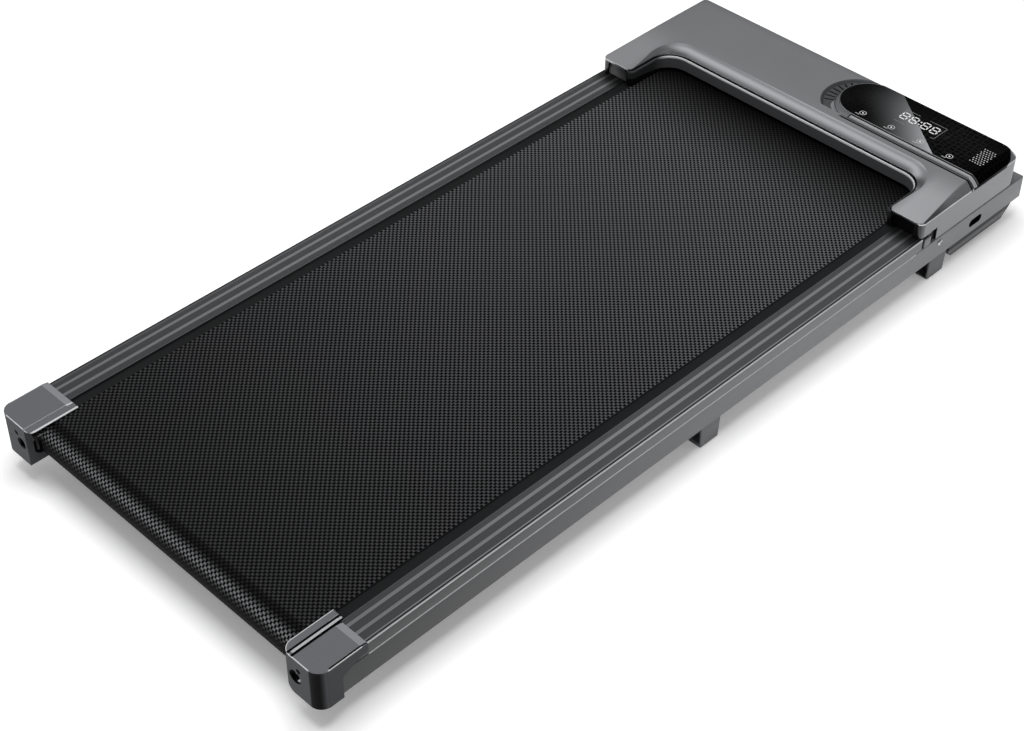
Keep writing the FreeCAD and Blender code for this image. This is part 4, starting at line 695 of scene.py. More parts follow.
# Satin gunmetal paint of the hood: fine metal flake under a thin clear coat; painted shade at the arms' front ends,
# on the side wall and before the display's trim, painted light on the arms and the side facet.
def hoodPaint():
    finish, flake, x, y, z = begin("hoodPaint", {"Coat Weight": 0.1, "Coat Roughness": 0.2}, 0.35, 1.0)
    mix = (flake * 0.5 + finish.noise(90.0) * 0.5).held()
    out, wall = abs(x), z.below(97.5)
    # painted shade: dark columns at the arms' front ends
    column = (1.0 - y.ease(350.0, 358.5)) * wall * (out.above(238.0) + out.below(212.0)).held()
    # painted light: the arms paler towards the front, the right arm paler still
    arm = out.ease(198.0, 216.0) * (1.0 - y.ease(392.0, 450.0)) * z.above(98.0)
    # painted light on the side facet: dark at the front, bright towards the back
    facetPaintedLight = abs(z - 99.0 - (249.0 - out) * 1.111).below(0.6) * out.above(240.0)
    shadow = y.between(448.5, 451.4) * x.above(52.0) * z.above(100.0)  # before the display's trim
    paint = finish.layers(
        # the side wall below the facet is darker: painted shade
        finish.tint(mix, (149, 150, 153), (163, 164, 167)), (out.above(248.3) * wall, (113, 114, 117)),
        (arm, finish.tint(x.above(0.0), (172, 173, 176), (198, 199, 202))),
        (facetPaintedLight, finish.tint(y.ease(372.0, 412.0), (122, 123, 125), (192, 193, 196))), (shadow, (114, 115, 117)),
        (column, 20))
    finish.show(paint, metal=0.9 * (1.0 - column), rough=0.2 + (flake - 0.5) * 0.03,
                normal=finish.relief(flake, 0.006, 0.02))


# Rounded lip of the hood's opening: a painted highlight along the front, dull grey beside the arms.
def lipBead():
    finish, grain, _, y, _ = begin("lipBead", {"Metallic": 0.1}, 0.4)
    colour = finish.tint(grain, (236, 237, 239), (246, 247, 249))
    finish.show(finish.tint(y.ease(396.0, 412.0), (84, 85, 88), colour), rough=0.35 + (grain - 0.5) * 0.1)


# Wall under the lip: dull black beside the arms, with the lower part lost in the shade there.
def lipWall():
    finish, grain, _, y, z = begin("lipWall", {"Specular IOR Level": 0.3}, 0.8)
    colour = finish.tint(y.ease(385.0, 416.0), (46, 47, 48), finish.tint(grain, (84, 85, 87), (92, 93, 95)))
    low = z.below(87.5 - 5.5 * y.ease(349.0, 415.0))
    finish.grained(finish.tint(low, colour, 5), grain, 0.5)


# Plate across the left arm's front end, with painted light: paler at its outer side.
def frontGrey():
    finish, grain, x, _, _ = begin("frontGrey", {"Roughness": 0.5, "Specular IOR Level": 0.2}, 0.8)
    share = x.ease(-244.0, -208.0).frayed(grain)
    finish.show(finish.tint(share, (168, 169, 171), 78), normal=finish.relief(grain, 0.1))


def rampZ(y):  # straight slope, rounded off into the plateau
    h = hoodForm
    t = max(0.0, (y - h.front) / h.rampLength)
    share = t if t < 0.75 else min(t, 1.25) - (min(t, 1.25) - 0.75) ** 2
    return h.rampEndZ + (h.topZ - h.rampEndZ) * share


def bevelArc():  # centre and radius of the round bevel: run from the opening, height
    h = hoodForm
    run, rise = h.bevelRun - h.ledge, h.topZ - h.lipZ
    chord = math.hypot(run, rise)
    radius = (chord * chord / 4 + h.bulge ** 2) / (2 * h.bulge)
    drop = radius - h.bulge
    return (h.ledge + run / 2 + rise / chord * drop, h.lipZ + rise / 2 - run / chord * drop, radius)


bevelRunMid, bevelZMid, bevelRadius = bevelArc()


def bevelZ(run):
    return bevelZMid + math.sqrt(max(0.0, bevelRadius ** 2 - (run - bevelRunMid) ** 2))


def crossing(height, y, slope, low, high):  # run at which a rising bevel meets the ramp
    for _ in range(40):
        middle = (low + high) / 2
        if height(middle) < rampZ(y + slope * middle):
            low = middle
        else:
            high = middle
    return high


# Where each ring of the hood starts and ends: inner edge and aim, outer edge and aim.
def hoodStations():
    h = hoodForm
    made = []
    tip, arm = h.tipCorner, h.armCorner
    places = [h.front + arm * (1 - math.sin(math.pi / 2 * (1 - step / 16))) for step in range(17)]
    places += [360, 364, 368, h.notchY - 0.05, h.notchY + 0.05, 377, 381, 385, 389]
    for y in places:
        near, far = max(0.0, h.front + tip - y), max(0.0, h.front + arm - y)
        inner = h.armInner + tip - math.sqrt(max(0.0, tip * tip - near * near))
        outer = h.half - arm + math.sqrt(max(0.0, arm * arm - far * far))
        made.append(((inner, y), (1, 0), (outer, y), (-1, 0)))
    heart = (h.armInner - h.innerCorner, h.lipY - h.innerCorner)
    backHeart = (h.half - h.backCorner, h.back - h.backCorner)
    fan = [(3.6 * step, toward((h.half, heart[1]), (h.half, backHeart[1]), step / 10), (-1, 0))
           for step in range(11)]
    for step, spot in enumerate(arc(*backHeart, h.backCorner, 0, 90, 16)[1:], 1):
        a = math.pi / 2 * step / 16
        fan.append((36 + 1.5 * step, spot, (-math.cos(a), -math.sin(a))))
    fan += [(60 + 3.75 * step, toward((backHeart[0], h.back), (heart[0], h.back), step / 8), (0, -1))
            for step in range(1, 9)]
    for degrees, outer, outward in fan:
        aim = (math.cos(math.radians(degrees)), math.sin(math.radians(degrees)))
        inner = (heart[0] + h.innerCorner * aim[0], heart[1] + h.innerCorner * aim[1])
        made.append((inner, aim, outer, outward))
    for x in (140, 110, 80, 55, 30, 0):
        made.append(((x, h.lipY), (0, 1), (x, h.back), (0, -1)))
    return made + [tuple((-x, y) for x, y in station) for station in reversed(made[:-1])]


def hoodRing(inner, inAim, outer, outAim):
    h = hoodForm
    wall, lip, wallZ = h.wall, h.lipZ, h.wallZ
    skirtIn = h.beltGapZ if inner[1] > h.beltGapY else h.railGapZ
    skirtOut = h.skirtZ if outer[1] > h.notchY else h.railGapZ
    start = h.bevelStart
    crease = crossing(bevelZ, inner[1], inAim[1], start, h.bevelRun)
    slope = (h.topZ - lip) / h.sideRun
    side = crossing(lambda run: lip + run * slope, outer[1], outAim[1], 0.0, h.sideRun)

    def fromInner(run, z):
        return (inner[0] + inAim[0] * run, inner[1] + inAim[1] * run, z)

    def fromOuter(run, z):
        return (outer[0] + outAim[0] * run, outer[1] + outAim[1] * run, z)

    ring = [fromInner(0, skirtIn)] + [fromInner(run, lip - drop) for run, drop in h.lipProfile]
    for step in range(11):
        run = start + (crease - start) * step / 10
        ring.append(fromInner(run, bevelZ(run)))
    edge = ring[-1]
    ring[-1] = (edge[0], edge[1], rampZ(edge[1]))
    soft = min(1.6, side * 0.45)
    far = fromOuter(side + soft, 0)
    for step in range(1, 9):
        x, y = toward(edge[:2], far[:2], step / 9)
        ring.append((x, y, rampZ(y)))
    top = rampZ(fromOuter(side, 0)[1])
    ring += bend(fromOuter(side + soft, rampZ(far[1])), fromOuter(side, top),
                 fromOuter(side - soft * 0.67, top - soft * 0.67 * slope))
    low = min(1.2, side * 0.45)
    ring += bend(fromOuter(low * 0.67, lip + low * 0.67 * slope), fromOuter(0, lip), fromOuter(0, lip - 1.2))
    ring += [fromOuter(0, wallZ), fromOuter(0, skirtOut), fromOuter(wall, skirtOut), fromOuter(wall, wallZ)]
    plate = wall + 2.5 * max(0.0, min(1.0, (inner[1] - 392) / 20))
    for step in range(5):
        x, y = toward(fromOuter(side + wall, 0)[:2], fromInner(crease + wall, 0)[:2], step / 4)
        ring.append((x, y, rampZ(y) - plate))
    return ring + [fromInner(wall + 2.5, lip - 4.0), fromInner(wall, lip - 5.0), fromInner(wall, skirtIn)]


# The display: a flat pod with a round left end, rolled over the hood's side on the right.
panelForm = Form(
    left=23.5, front=461.0, back=538.0, leftRadius=38.0, backCorner=20.0, right=249.0, proud=0.8, floor=-1.8,
    roll=5.0, wedge=((84.0, 536.0), (183.0, 459.0)))


def podHeight(x, offset):  # flat top that rolls over into the sloping side
    h = hoodForm
    run, fall = h.sideRun, h.topZ - h.lipZ
    size = math.hypot(run, fall)
    bendX = h.half - run + offset * (1 - run / size) / (fall / size)
    footZ = h.lipZ + offset / (run / size)
    slope = (h.topZ + offset - footZ) / (h.half - bendX)
    past, roll = x - bendX, panelForm.roll
    if past < roll:
        past = max(0.0, past + roll) ** 2 / (4 * roll)
    return h.topZ + offset - past * slope


def podPrism(name, growLeft, growFront, lowOffset, highOffset, look, extra=0.0):
    p = panelForm
    front, left = p.front - growFront, p.left - growLeft
    radius = min(p.leftRadius + growLeft, (p.back - front) / 2)
    corner = p.backCorner
    stops = [left + radius * (1 - math.cos(math.radians(a))) for a in range(3, 91, 3)]
    stops += [80, 110, 140, 170, 200, 225, 234, p.right - corner]
    stops += [p.right - corner + corner * math.sin(math.radians(a)) for a in range(8, 91, 6)]
    stops += [235.0 + i for i in range(14)] + [p.right, p.right + extra]
    rings = []
    for x in sorted(set(round(s, 3) for s in stops)):
        reach = max(0.0, left + radius - x)
        pinch = radius - math.sqrt(max(0.0, radius * radius - reach * reach))
        over = max(0.0, min(corner, x - (p.right - corner)))
        cut = corner - math.sqrt(max(0.0, corner * corner - over * over))
        low, high = podHeight(x, lowOffset), podHeight(x, highOffset)
        y0, y1 = front + pinch, p.back - max(pinch, cut)
        rings.append([(x, y0, low), (x, y1, low), (x, y1, high), (x, y0, high)])
    return sweep(name, rings, look, 25)


# What is cut into the hood's top and back: the dish, its vents, sockets and a groove before the trim.
cutForm = Form(
    x=54.0, y=490.0, radius=48.5, front=451.5, back=537.4,
    slope=((4.2, 113.0), (2.4, 109.0), (1.2, 108.5), (0.1, 107.7), (-0.9, 106.5), (-1.8, 106.0)), ventInner=34.5,
    ventOuter=46.6, ventWidth=2.0, vents=8, ventStart=132.0, ventStep=11.0,
    sockets=((90.0, 27.4, 20.4), (140.0, 21.4, 15.4), (180.0, 14.4, 14.4)), socketZ=82.0, grooveY=(446.3, 448.5),
    grooveStart=50.0, groovePinch=0.9, grooveDepth=1.2)


# the dish's faces take painted shade
def dishCutter():
    c = cutForm
    rings = [[(x, max(c.front, min(c.back, y)), z)
              for x, y in arc(c.x, c.y, c.radius + widen, 0, 357, 119)] for widen, z in c.slope]
    return sweep("dish", rings, "dishGrey")


def ventCutter():
    c = cutForm
    half = c.ventWidth / 2
    mould = box("slot", (c.ventInner, -half, -10), (c.ventOuter, half, 10), "lipBlack")
    places = [(c.x, c.y, 108.0, c.ventStart + c.ventStep * i) for i in range(c.vents)]
    return scatter("vents", mould, places, "lipBlack")


def socketCutters():
    z = cutForm.socketZ
    return [box("hole", (x - width / 2, 540, z - height / 2), (x + width / 2, 552, z + height / 2), "lipBlack")
            for x, width, height in cutForm.sockets]


def trimGroove():
    c = cutForm
    start, rings = c.grooveStart, []
    for x in [start, start + 6.0, 100.0, 150.0, 200.0, 230.0] + [234.0 + i for i in range(19)]:
        pinch = c.groovePinch if x == start else 0.0
        low, high = podHeight(x, -c.grooveDepth), podHeight(x, 6.0)
        near, far = c.grooveY[0] + pinch, c.grooveY[1] - pinch
        rings.append([(x, near, low), (x, far, low), (x, far, high), (x, near, high)])
    return sweep("groove", rings, "lipBlack")


def makeHood():
    for makeFinish in (hoodPaint, lipBead, lipWall, frontGrey):
        makeFinish()
    h = hoodForm
    rings = [hoodRing(*station) for station in hoodStations()]
    bands = [1, 2, 2, 2, 2, 3, 3, 3, 3] + [0] * (len(rings[0]) - 10) + [1]  # wall, bead, groove, paint, wall
    hood = sweep("motorHood", rings, ("hoodPaint", "lipWall", "lipBead", "lipBlack"), h.smooth, bands)
    pocket = podPrism("pocket", 2.15, 10.15, -1.85, 25.0, "lipBlack", 3.0)
    mirrored = {key: [[(side * x, y, z) for x, y, z in h[key]] for side in sides.values()]
                for key in ("notch", "frontPlate", "frontEdge", "backing")}
    notches = [box("notch", *corners, "lipBlack") for corners in mirrored["notch"]]
    carve(hood, dishCutter(), pocket, trimGroove(), ventCutter(), *socketCutters(), *notches)
    fronts = []
    for plate, edge, backing, look in zip(mirrored["frontPlate"], mirrored["frontEdge"], mirrored["backing"],
                                          ("frontGrey", "lipBlack")):
        # painted highlight: the bead along each arm's front edge; painted shade: the right arm's black front plate
        # and the black backing behind each side notch
        fronts += [box("front", *plate, look), bead("edge", edge, h.edgeRadius, "ribSilver"),
                   box("backing", *backing, "lipBlack")]
    hood = joined("motorHood", hood, *fronts)
    shade(hood.data, h.smooth)
    settle(hood, "hood_plastic", "hood_shell")
    print("hood:", len(hood.data.polygons), "faces")


makeHood()


# Smoked display cover: black, a paler wedge behind the digits that is a painted reflection, a faint comb of cells.
def panelGloss():
    finish = Finish("panelGloss", {"Roughness": 0.12, "Specular IOR Level": 0.03})
    x, y, _ = finish.axes(finish.place())
    (x0, y0), (x1, y1) = panelForm.wedge
    length = math.hypot(x1 - x0, y1 - y0)
    aimX, aimY = (x1 - x0) / length, (y1 - y0) / length
    inside = (y0 - y) * aimX - (x0 - x) * aimY  # distance into the pale wedge
    along = (x1 - x) * aimX + (y1 - y) * aimY  # from the wedge's front end
    wedge = inside.above(0.0) * (1.0 - inside / 62.0).held() ** 2.0 * (1.0 - along / 160.0).held()
    cells = finish.make("ShaderNodeTexVoronoi", {"Vector": finish.place((1, 1, 0)), "Scale": 1 / 7.0,
                                                 "Randomness": 0.45}, feature="DISTANCE_TO_EDGE")
    comb = (1.0 - cells.ease(0.02, 0.14)) * (0.25 + 0.75 * x.ease(110.0, 170.0) * (1.0 - x.ease(205.0, 226.0)))
    finish.show(finish.tint(wedge, finish.tint(comb * 0.25, 1, (52, 53, 54)), (168, 170, 173)))


def makePanel():
    panelGloss()
    panel = podPrism("displayPanel", 0.0, 0.0, panelForm.floor, panelForm.proud, "panelGloss")
    modify(panel, "BEVEL", limit_method="ANGLE", angle_limit=math.radians(60), width=0.35 * mm, segments=2)
    shade(panel.data, 25)
    settle(panel, "panel_gloss", "display_panel")
    print("display panel made")


makePanel()


trimForm = Form(
    bead=0.75, beadY=460.4, beadGap=1.0, ribPitch=2.9, ribFrom=64.0, ribTo=238.0, ribY=455.3, ribZ=108.05, tail=1.2,
    tailY=453.6, collarFoot=106.2, collarRise=1.7, collarInner=38.6, collarOuter=40.1, collarY=(491.0, 497.9),
    tongueReach=5.2,
    band=((452.2, 107.2), (458.4, 107.2), (458.4, 108.7), (457.4, 109.0), (456.0, 108.9), (452.2, 108.0)))


# Silver band of the display's trim, with painted shade at its foot and a painted highlight along its crest.
def bandSilver():
    finish, grain, _, y, _ = begin("bandSilver", {"Metallic": 0.3}, 0.4)
    share = y.ease(452.3, 457.2).frayed(grain)
    finish.show(finish.tint(share, (104, 105, 107), (178, 179, 181)), rough=0.34 + (grain - 0.5) * 0.1)


def trimCollar(heartX, heartY):  # round the display's left end
    t = trimForm
    rings = []
    for step in range(37):
        a = math.radians(96 + 4.8 * step)
        aim = (math.cos(a), math.sin(a))
        rise = max(0.0, -aim[1]) * t.collarRise
        outer = (heartX + t.collarOuter * aim[0], t.collarY[aim[1] > 0] + t.collarOuter * aim[1])
        inner = (heartX + t.collarInner * aim[0], heartY + t.collarInner * aim[1])
        ring = [(*inner, t.collarFoot), (*outer, t.collarFoot)]
        for part in range(6):
            turn = math.radians(18 * part)
            ring.append((*toward(outer, inner, 1 - math.cos(turn)),
                         t.collarFoot + 0.2 + rise + (2.9 - rise) * math.sin(turn)))
        rings.append(ring)
    return sweep("collar", rings, "collarGrey")


# the tongue's pale grey is a painted highlight
def trimTongue(heartX):  # pointed at both ends, in front of the collar
    t = trimForm
    rings = []
    for step in range(15):
        a, reach = math.radians(208 + 3.4 * step), 0.3 + t.tongueReach * math.sin(math.pi * step / 14)
        rings.append([(heartX + r * math.cos(a), t.collarY[0] + r * math.sin(a), z) for r, z in (
            (39.6, 106.0), (40.0 + reach, 106.0), (40.0 + reach, 107.9 - 1.2 / (1 + reach)), (39.6, 106.4))])
    return sweep("tongue", rings, "tongueGrey")


def makeTrim():
    bandSilver()
    t, p = trimForm, panelForm
    fold = list(range(234, 249))  # close steps where the display rolls over the side
    heart = (p.left + p.leftRadius, (p.front + p.back) / 2)
    path = [(x, min(y, p.back - 0.4)) for x, y in arc(*heart, p.leftRadius + t.beadGap, 90, 270, 32)]
    path += [(x, t.beadY) for x in [80, 120, 160, 200, 230] + fold]
    bar = bead("trimBead", [(x, y, podHeight(x, 0.25)) for x, y in path], t.bead, "trimSilver")
    floor = podPrism("trimFloor", 2.0, 10.0, -1.8, -0.9, "lipBlack")
    tail = bead("trimTail", [(x, t.tailY, podHeight(x, -0.6)) for x in fold[4:]], t.tail, "ribSilver")
    band = sweep("band", [[(x, y, z + podHeight(x, 0.0) - hoodForm.topZ) for y, z in t.band]
                          for x in [62, 90, 130, 170, 210, 230] + fold], "bandSilver", 25)
    mould = sweep("rib", [[(-0.75, y, z - 0.4), (0.75, y, z - 0.4), (0.45, y, z + 0.22), (-0.45, y, z + 0.22)]
                          for y, z in ((-2.9, 0.0), (0.7, 0.85), (2.1, 0.95))], "bandSilver")
    count = int((t.ribTo - t.ribFrom) / t.ribPitch)
    places = [(t.ribFrom + t.ribPitch * i, t.ribY, t.ribZ, 0.0) for i in range(count)]
    ribs = scatter("ribs", mould, places, "bandSilver")
    trim = joined("displayTrim", floor, bar, tail, band, ribs, trimCollar(*heart), trimTongue(heart[0]))
    shade(trim.data, 40)
    settle(trim, "trim_silver", "display_trim")
    print("display trim:", count, "ribs")


makeTrim()


signForm = Form(
    lift=0.86, thick=0.06, digitX=(105.5, 119.0, 136.2, 149.6), digitY=495.6, digitWidth=8.8, digitHeight=13.2,
    digitGap=0.7, stroke=1.55, colonX=131.2, colonY=(498.6, 504.1), colonSize=2.0, lineStroke=0.55,
    lines=((104.6, 515, 124, 515), (104.6, 515, 104.6, 508), (104.6, 487, 120, 487), (163, 487, 163, 515),
        (163, 515, 138, 515), (163, 487, 158, 487)), icons=(70.0, 112.5, 155.0, 197.5), iconY=471.0,
    iconRing=(4.5, 4.5, 3.5, 3.5), mark=1.1, dash=(-7.4, -6.1, -1.6, -5.1), dots=(5, 9), dotStart=(219.0, 482.0),
    dotPitch=(3.6, 3.9), dotRadius=0.95)


def segment(x0, y0, x1, y1, stroke):  # a lit bar with pointed ends
    a, b = Vector((x0, y0)), Vector((x1, y1))
    tip = (b - a).normalized() * (stroke / 2)
    side = Vector((-tip.y, tip.x))
    return [tuple(spot) for spot in (a, a + tip - side, b - tip - side, b, b - tip + side, a + tip + side)]


def makeSigns():
    s = signForm
    low = hoodForm.topZ + s.lift
    high = low + s.thick
    made = []

    def plate(outline, look):
        made.append(prism("sign", outline, 2, (low, high), look))

    y, w, tall, gap = s.digitY, s.digitWidth, s.digitHeight, s.digitGap
    mid = y + tall / 2
    for x in s.digitX:
        bars = [(x + gap, level, x + w - gap, level) for level in (y, mid, y + tall)]
        bars += [(across, foot + gap, across, foot + tall / 2 - gap) for foot in (y, mid) for across in (x, x + w)]
        for bar in bars:
            plate(segment(*bar, s.stroke), "printWhite")
    for foot in s.colonY:
        plate(rectangle(s.colonX, foot, s.colonX + s.colonSize, foot + s.colonSize), "printWhite")
    for line in s.lines:
        plate(segment(*line, s.lineStroke), "printDim")
    mark, level = s.mark, s.iconY
    for x in s.icons:
        ring = list(zip(s.iconRing, (low, high, high, low)))
        made.append(lathe("icon", ring, "printGrey", 28, x, level))
        plate(rectangle(x - mark, level - mark, x + mark, level + mark, 0.7, 4), "printWhite")
        x0, y0, x1, y1 = s.dash
        plate(rectangle(x + x0, level + y0, x + x1, level + y1), "printGrey")
    radius, (pitchX, pitchY) = s.dotRadius, s.dotPitch
    mould = lathe("dot", [(0, 0), (radius, 0), (radius, s.thick), (0, s.thick)], "printGrey", 10)
    places = [(s.dotStart[0] + pitchX * (column + row % 2 / 2), s.dotStart[1] + pitchY * row, low, 0)
              for row in range(s.dots[1]) for column in range(s.dots[0])]
    signs = joined("displaySigns", *made, scatter("dots", mould, places, "printGrey"))
    settle(signs, "digit_glass")
    print("signs:", len(signs.data.polygons), "faces")


makeSigns()


capForm = Form(
    rear=-562.0, lipInner=198.5, lipRadius=14.0, lipLow=77.4, cornerX=238.0, topZ=78.0, sideX=251.6, round=0.7,
    smooth=34, groove=((249.5, -547.0, 78.7), (251.4, -501.0, 81.0)), hole=(218.2, -562.0, 54.2), holeRadius=8.2,
    holeDepth=6.0, lipEnd=((198.6, -511.0, 77.8), (206.9, -497.0, 79.05)), ridgeRadius=2.35,
    ridgeEnd=((211.5, -502.0, 77.6), (211.5, -497.6, 77.6)), footX=206.95, footZ=28.95, footRadius=9.05,
    footTop=51.0, footEnd=237.0, footY=-561.4, footThick=0.58)


# Moulded cap, with painted light: the top paler than the sides, painted shade in the rounded corner and the
# troughs, painted highlights on the ramp, the ridge, the rim and the left cap's crease.
def capPlastic():
    c = capForm
    lipX, lipY = c.lipInner + c.lipRadius, c.rear + c.lipRadius  # centre of the lip's round
    finish, grain, x, y, z = begin("capPlastic", {"Specular IOR Level": 0.04}, 0.7)
    out, right, top = abs(x), x.above(0.0), z.above(c.topZ)
    pastX, pastY = out - c.cornerX, lipY - y
    # painted shade: the rounded rear corner
    corner = pastX.ease(0.2, 2.0) * pastY.ease(2.5, 10.0) * z.below(79.9)
    # painted light: the ramp
    ramp = y.above(-509.2) * z.above(70.0) * out.between(206.0, c.sideX)
    # painted highlight: the rim
    rim = ((y.below(-561.2) + out.above(251.2)).held() * z.between(78.9, 80.5)
           * (1.0 - pastX.ease(0.0, 2.0) * pastY.ease(0.0, 2.0)) * y.below(-508.0))
    lipRound = ((x - lipX) ** 2.0 + pastY ** 2.0).above(13.3 ** 2) * x.below(lipX) * y.below(lipY) * right
    rim = (rim + (out.below(199.3) + lipRound) * top).held()
    # painted highlight on the ridge, painted shade in the troughs beside it
    ridge = right * out.between(209.3, 212.7) * z.above(77.6) * y.above(-558.0)
    trough = right * out.between(206.8, 216.2) * z.between(70.0, 79.6) * y.above(-561.0) * (1.0 - ridge)
    # painted highlight along the left cap's crease
    creaseHighlight = x.below(0.0) * out.between(206.7, 208.1) * z.above(77.0)  # the left cap has no ridge
    # the top paler and the outer side darker: painted light
    colour = finish.layers(
        finish.tint(grain, (82, 83, 86), (90, 91, 94)), (top, finish.tint(grain, (97, 98, 101), (105, 106, 109))),
        (out.above(c.sideX) * z.below(79.0), (76, 77, 79)), (corner, 2), (ramp, (131, 132, 136)),
        (rim, (205, 206, 208)), (trough, 4), (ridge, (176, 177, 179)),
        (creaseHighlight, finish.tint(ramp, (150, 151, 153), (210, 211, 213))))
    finish.grained(colour, grain, 0.4, bump=0.12)


def lipCorner():  # what a wider round takes off the lip's rear inner corner
    c = capForm
    inner, radius, aside = c.lipInner, c.lipRadius, 190.0
    outline = [(aside, -490.0), (inner, -490.0)] + arc(inner + radius, c.rear + radius, radius, 180, 270, 14)
    outline += [(inner + radius, -570.0), (aside, -570.0)]
    return prism("corner", outline, 2, (c.lipLow, 82.0), "capPlastic")


# painted highlight: a bright bead round the rear wall's lower inner corner
def footEdge():  # bright edge round the rear wall's lower inner corner
    c = capForm
    radius = c.footRadius
    path = [(c.footX, c.footTop)] + arc(c.footX + radius, c.footZ + radius, radius, 180, 270, 12)
    path = [(x, c.footY, z) for x, z in path + [(c.footEnd, c.footZ)]]
    return bead("footEdge", path, c.footThick, "ribSilver", 12)


def makeCaps():
    capPlastic()
    c = capForm

    def outerEdge(a, b):
        rear = max(a.y, b.y) < -545 and min(a.y, b.y) < -561.5
        high = min(a.z, b.z) > 76 and max(abs(a.x), abs(b.x)) > 196
        return high or rear or min(abs(a.x), abs(b.x)) > 250.5

    for word, side in sides.items():
        cap = rounded(word + "Cap", word + "_end_cap", "capPlastic", c.round, outerEdge, c.smooth)
        if side > 0:
            radius, depth = c.holeRadius, c.holeDepth
            hole = lathe("hole", [(0, -depth), (radius, -depth), (radius, depth), (0, depth)], "lipBlack", 40)
            hole.data.transform(Matrix.Translation(Vector(c.hole) * mm) @ Matrix.Rotation(math.radians(90), 4, "X"))
            carve(cap, box("groove", *c.groove, "lipBlack"), hole, lipCorner())
            # the lip and the ridge run on a little past the ramp
            cap = joined("rightCap", cap, footEdge(), box("lipEnd", *c.lipEnd, "capPlastic"),
                         bead("ridgeEnd", c.ridgeEnd, c.ridgeRadius, "capPlastic", 20))
        shade(cap.data, c.smooth)
        modify(cap, "WEIGHTED_NORMAL", keep_sharp=True)  # flat faces stay flat beside rounded edges
        settle(cap, "cap_plastic", word + "_end_cap")
    print("caps made")


makeCaps()


fittingForm = Form(
    soft=(("rearFeet", "rear_feet", "footRubber", 1.0, "foot_rubber"),
        ("middleFeet", "middle_feet", "footRubber", 1.0, "foot_rubber"),
        ("frontFeet", "front_feet", "footRubber", 1.0, "foot_rubber"),
        ("railBrackets", "rail_end_brackets", "framePaint", 0.8, "frame_paint"),
        ("frontBar", "front_cross_tube", "framePaint", 1.2, "frame_paint"),
        ("endPlugs", "tube_end_plugs", "blackPlastic", 0.8, "black_plastic")), panRound=1.5,
    screw=(250.0, 393.0, 53.0), screwSmooth=35, screwHead=((0, -6), (2.0, -6), (2.0, 0), (4.0, 0), (4.0, 0.5),
        (3.5, 1.2), (2.6, 1.65), (1.5, 1.8), (1.3, 0.9), (0, 0.9)))


# Pan under the motor: a black line under the tube as painted shadow, a grey side band as painted light, dark
# underside.
def panPlastic():
    finish, grain, x, _, z = begin("panPlastic", {}, 0.8)
    # painted light on the grey side band; painted shadow in the black line above it
    side = abs(x).above(238.0) * z.between(12.5, 18.5)
    colour = finish.layers(
        finish.tint(grain, (46, 47, 49), (58, 59, 61)),
        (side, finish.tint(grain, (96, 97, 100), (106, 107, 110))), (z.above(18.5), 5))
    finish.grained(colour, grain, 0.48, 0.15, 0.12)


def makeFittings():
    panPlastic()
    f = fittingForm
    for name, node, look, width, slot in f.soft:
        settle(rounded(name, node, look, width), slot, node)

    def panEdge(a, b):
        return abs(a.x - b.x) > 300 or (min(abs(a.x), abs(b.x)) > 244 and (a - b).length > 4)

    settle(rounded("bottomPan", "bottom_pan", "panPlastic", f.panRound, panEdge), "black_plastic", "bottom_pan")
    screws = []
    x, y, z = f.screw
    for side in sides.values():
        mould = lathe("screw", f.screwHead, "zincSteel", 20)
        mould.data.transform(Matrix.Rotation(math.radians(90 * side), 4, "Y"))
        screws.append(scatter("screw", mould, [(x * side, y, z, 0)], "zincSteel", f.screwSmooth))
    piece = joined("sideScrews", *screws)
    shade(piece.data, f.screwSmooth)
    settle(piece, "zinc_steel", "side_screws")
    print("fittings made")


makeFittings()


def finishName(slot):  # motor_paint is motorPaint, and so on
    first, *rest = slot.replace("hood_plastic", "hood_paint").split("_")
    return first + "".join(word.capitalize() for word in rest)


def dressNodes():
    # painted shade: the axle and tension brackets inside the caps take black plastic
    dark = ("rear_axle", "left_tension_bracket", "right_tension_bracket")
    count = 0
    for name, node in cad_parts.items():
        for index, material in enumerate(node.data.materials):
            slot = material.name.split(".")[0]
            finish = finishes.get("blackPlastic" if name in dark else finishName(slot))
            if finish:
                node.data.materials[index] = finish.material
                count += 1
            else:
                print("no finish for", name, slot)
    print("finishes set on", count, "node slots")


dressNodes()


# Lamps: place, aim, size and power; only the strip shows in shiny surfaces.
studioForm = Form(
    floor=0.97, floorReach=6000.0, floorZ=-0.3, veil=0.24, skyLow=0.12, skyHigh=1.26,
    lamps={"key": ((0.1, -0.2, 2.5), (0.1, -0.2, 0), 1.6, 46.0), "strip": ((-0.95, 1.35, 1.95),
        (0.22, 0.38, 0.1), 0.5, 0.5), "side": ((1.5, 1.2, 0.7), (0.25, 0.3, 0.05), 0.8, 2.5)}, lens=69.19,
    sensor=36.0, clip=0.05, cameraPlace=(1.1770, -1.2479, 1.4633), cameraRight=(0.70699, 0.70720, 0.00432),
    cameraUp=(-0.47054, 0.46581, 0.74940), cameraBack=(0.52797, -0.53186, 0.66210))


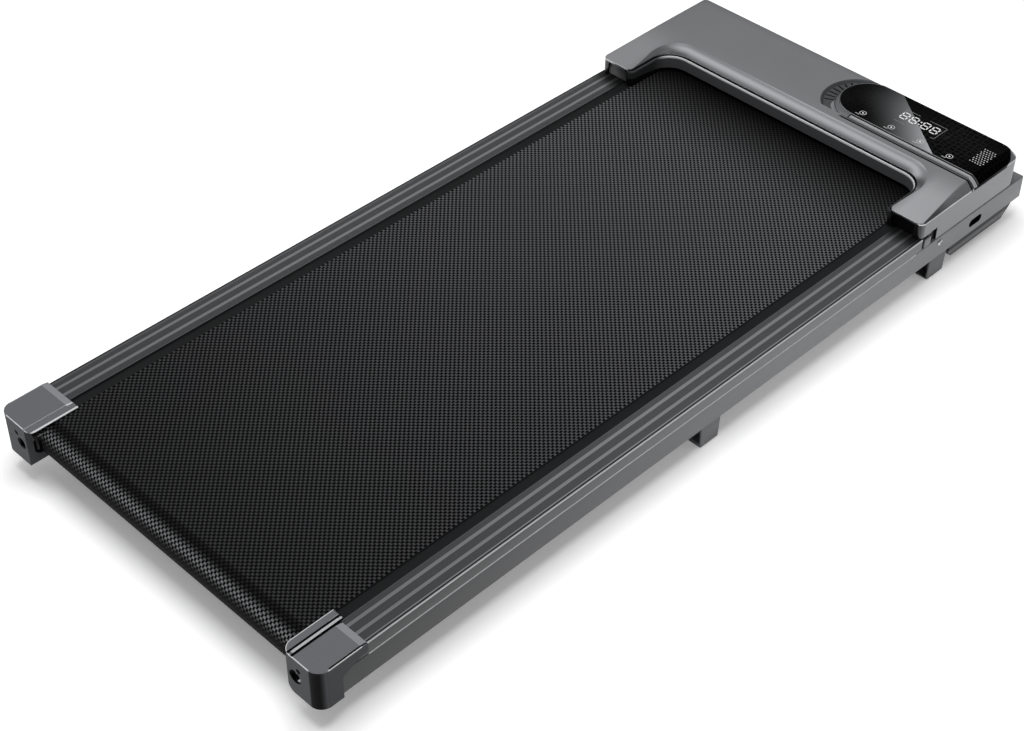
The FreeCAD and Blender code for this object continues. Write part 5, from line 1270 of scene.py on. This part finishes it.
def makeFloor():
    s = studioForm
    finish = Finish("floorWhite", {"Roughness": 0.9, "Specular IOR Level": 0.0, "Emission Strength": 1.0})
    seen = sum(finish.make("ShaderNodeLightPath", None, "Is %s Ray" % word)
               for word in ("Camera", "Glossy", "Transmission"))
    finish.show(finish.tint(finish.noise(400.0, 1.0), flat(s.floor), flat(s.floor * 0.995)),
                glow=seen.held() * s.veil)
    reach = s.floorReach
    points = [(x, y, s.floorZ) for x, y in rectangle(-reach, -reach, reach, reach)]
    build("floor", points, [(0, 1, 2, 3)], "floorWhite")


def makeSky():
    world = bpy.data.worlds.new("studio")
    scene.world = world
    world.use_nodes = True
    sky = Graph(world.node_tree)
    x, y, z = sky.axes(sky.make("ShaderNodeTexCoord", None, "Generated"))
    band = y.ease(-0.62, -0.06) * (1.0 - 0.65 * y.ease(-0.04, 0.32))  # brightest overhead
    up = z.ease(0.25, 0.6) * band * (1.0 - 0.85 * x.ease(-0.3, 0.2))  # darker on the display's side
    tone = sky.tint(up, flat(studioForm.skyLow), flat(studioForm.skyHigh))
    sky.feed(world.node_tree.nodes["Background"].inputs["Color"], tone)


def makeLamps():
    for name, (place, aim, size, power) in studioForm.lamps.items():
        lamp = bpy.data.lights.new(name, "AREA")
        lamp.shape = "RECTANGLE"
        lamp.size = lamp.size_y = size
        lamp.energy = power
        holder = newObject(name, lamp)
        holder.location = place
        holder.rotation_euler = (Vector(aim) - Vector(place)).to_track_quat("-Z", "Y").to_euler()
        holder.visible_glossy = name == "strip"


def makeCamera():
    s = studioForm
    view = bpy.data.cameras.new("camera")
    view.lens, view.sensor_width, view.clip_start = s.lens, s.sensor, s.clip
    scene.camera = newObject("camera", view)
    columns = [s[key] for key in ("cameraRight", "cameraUp", "cameraBack", "cameraPlace")]
    scene.camera.matrix_world = Matrix([[column[i] for column in columns] for i in range(3)] + [[0, 0, 0, 1]])
    scene.view_settings.view_transform = "Standard"


makeFloor()
makeSky()
makeLamps()
makeCamera()
print("studio set")
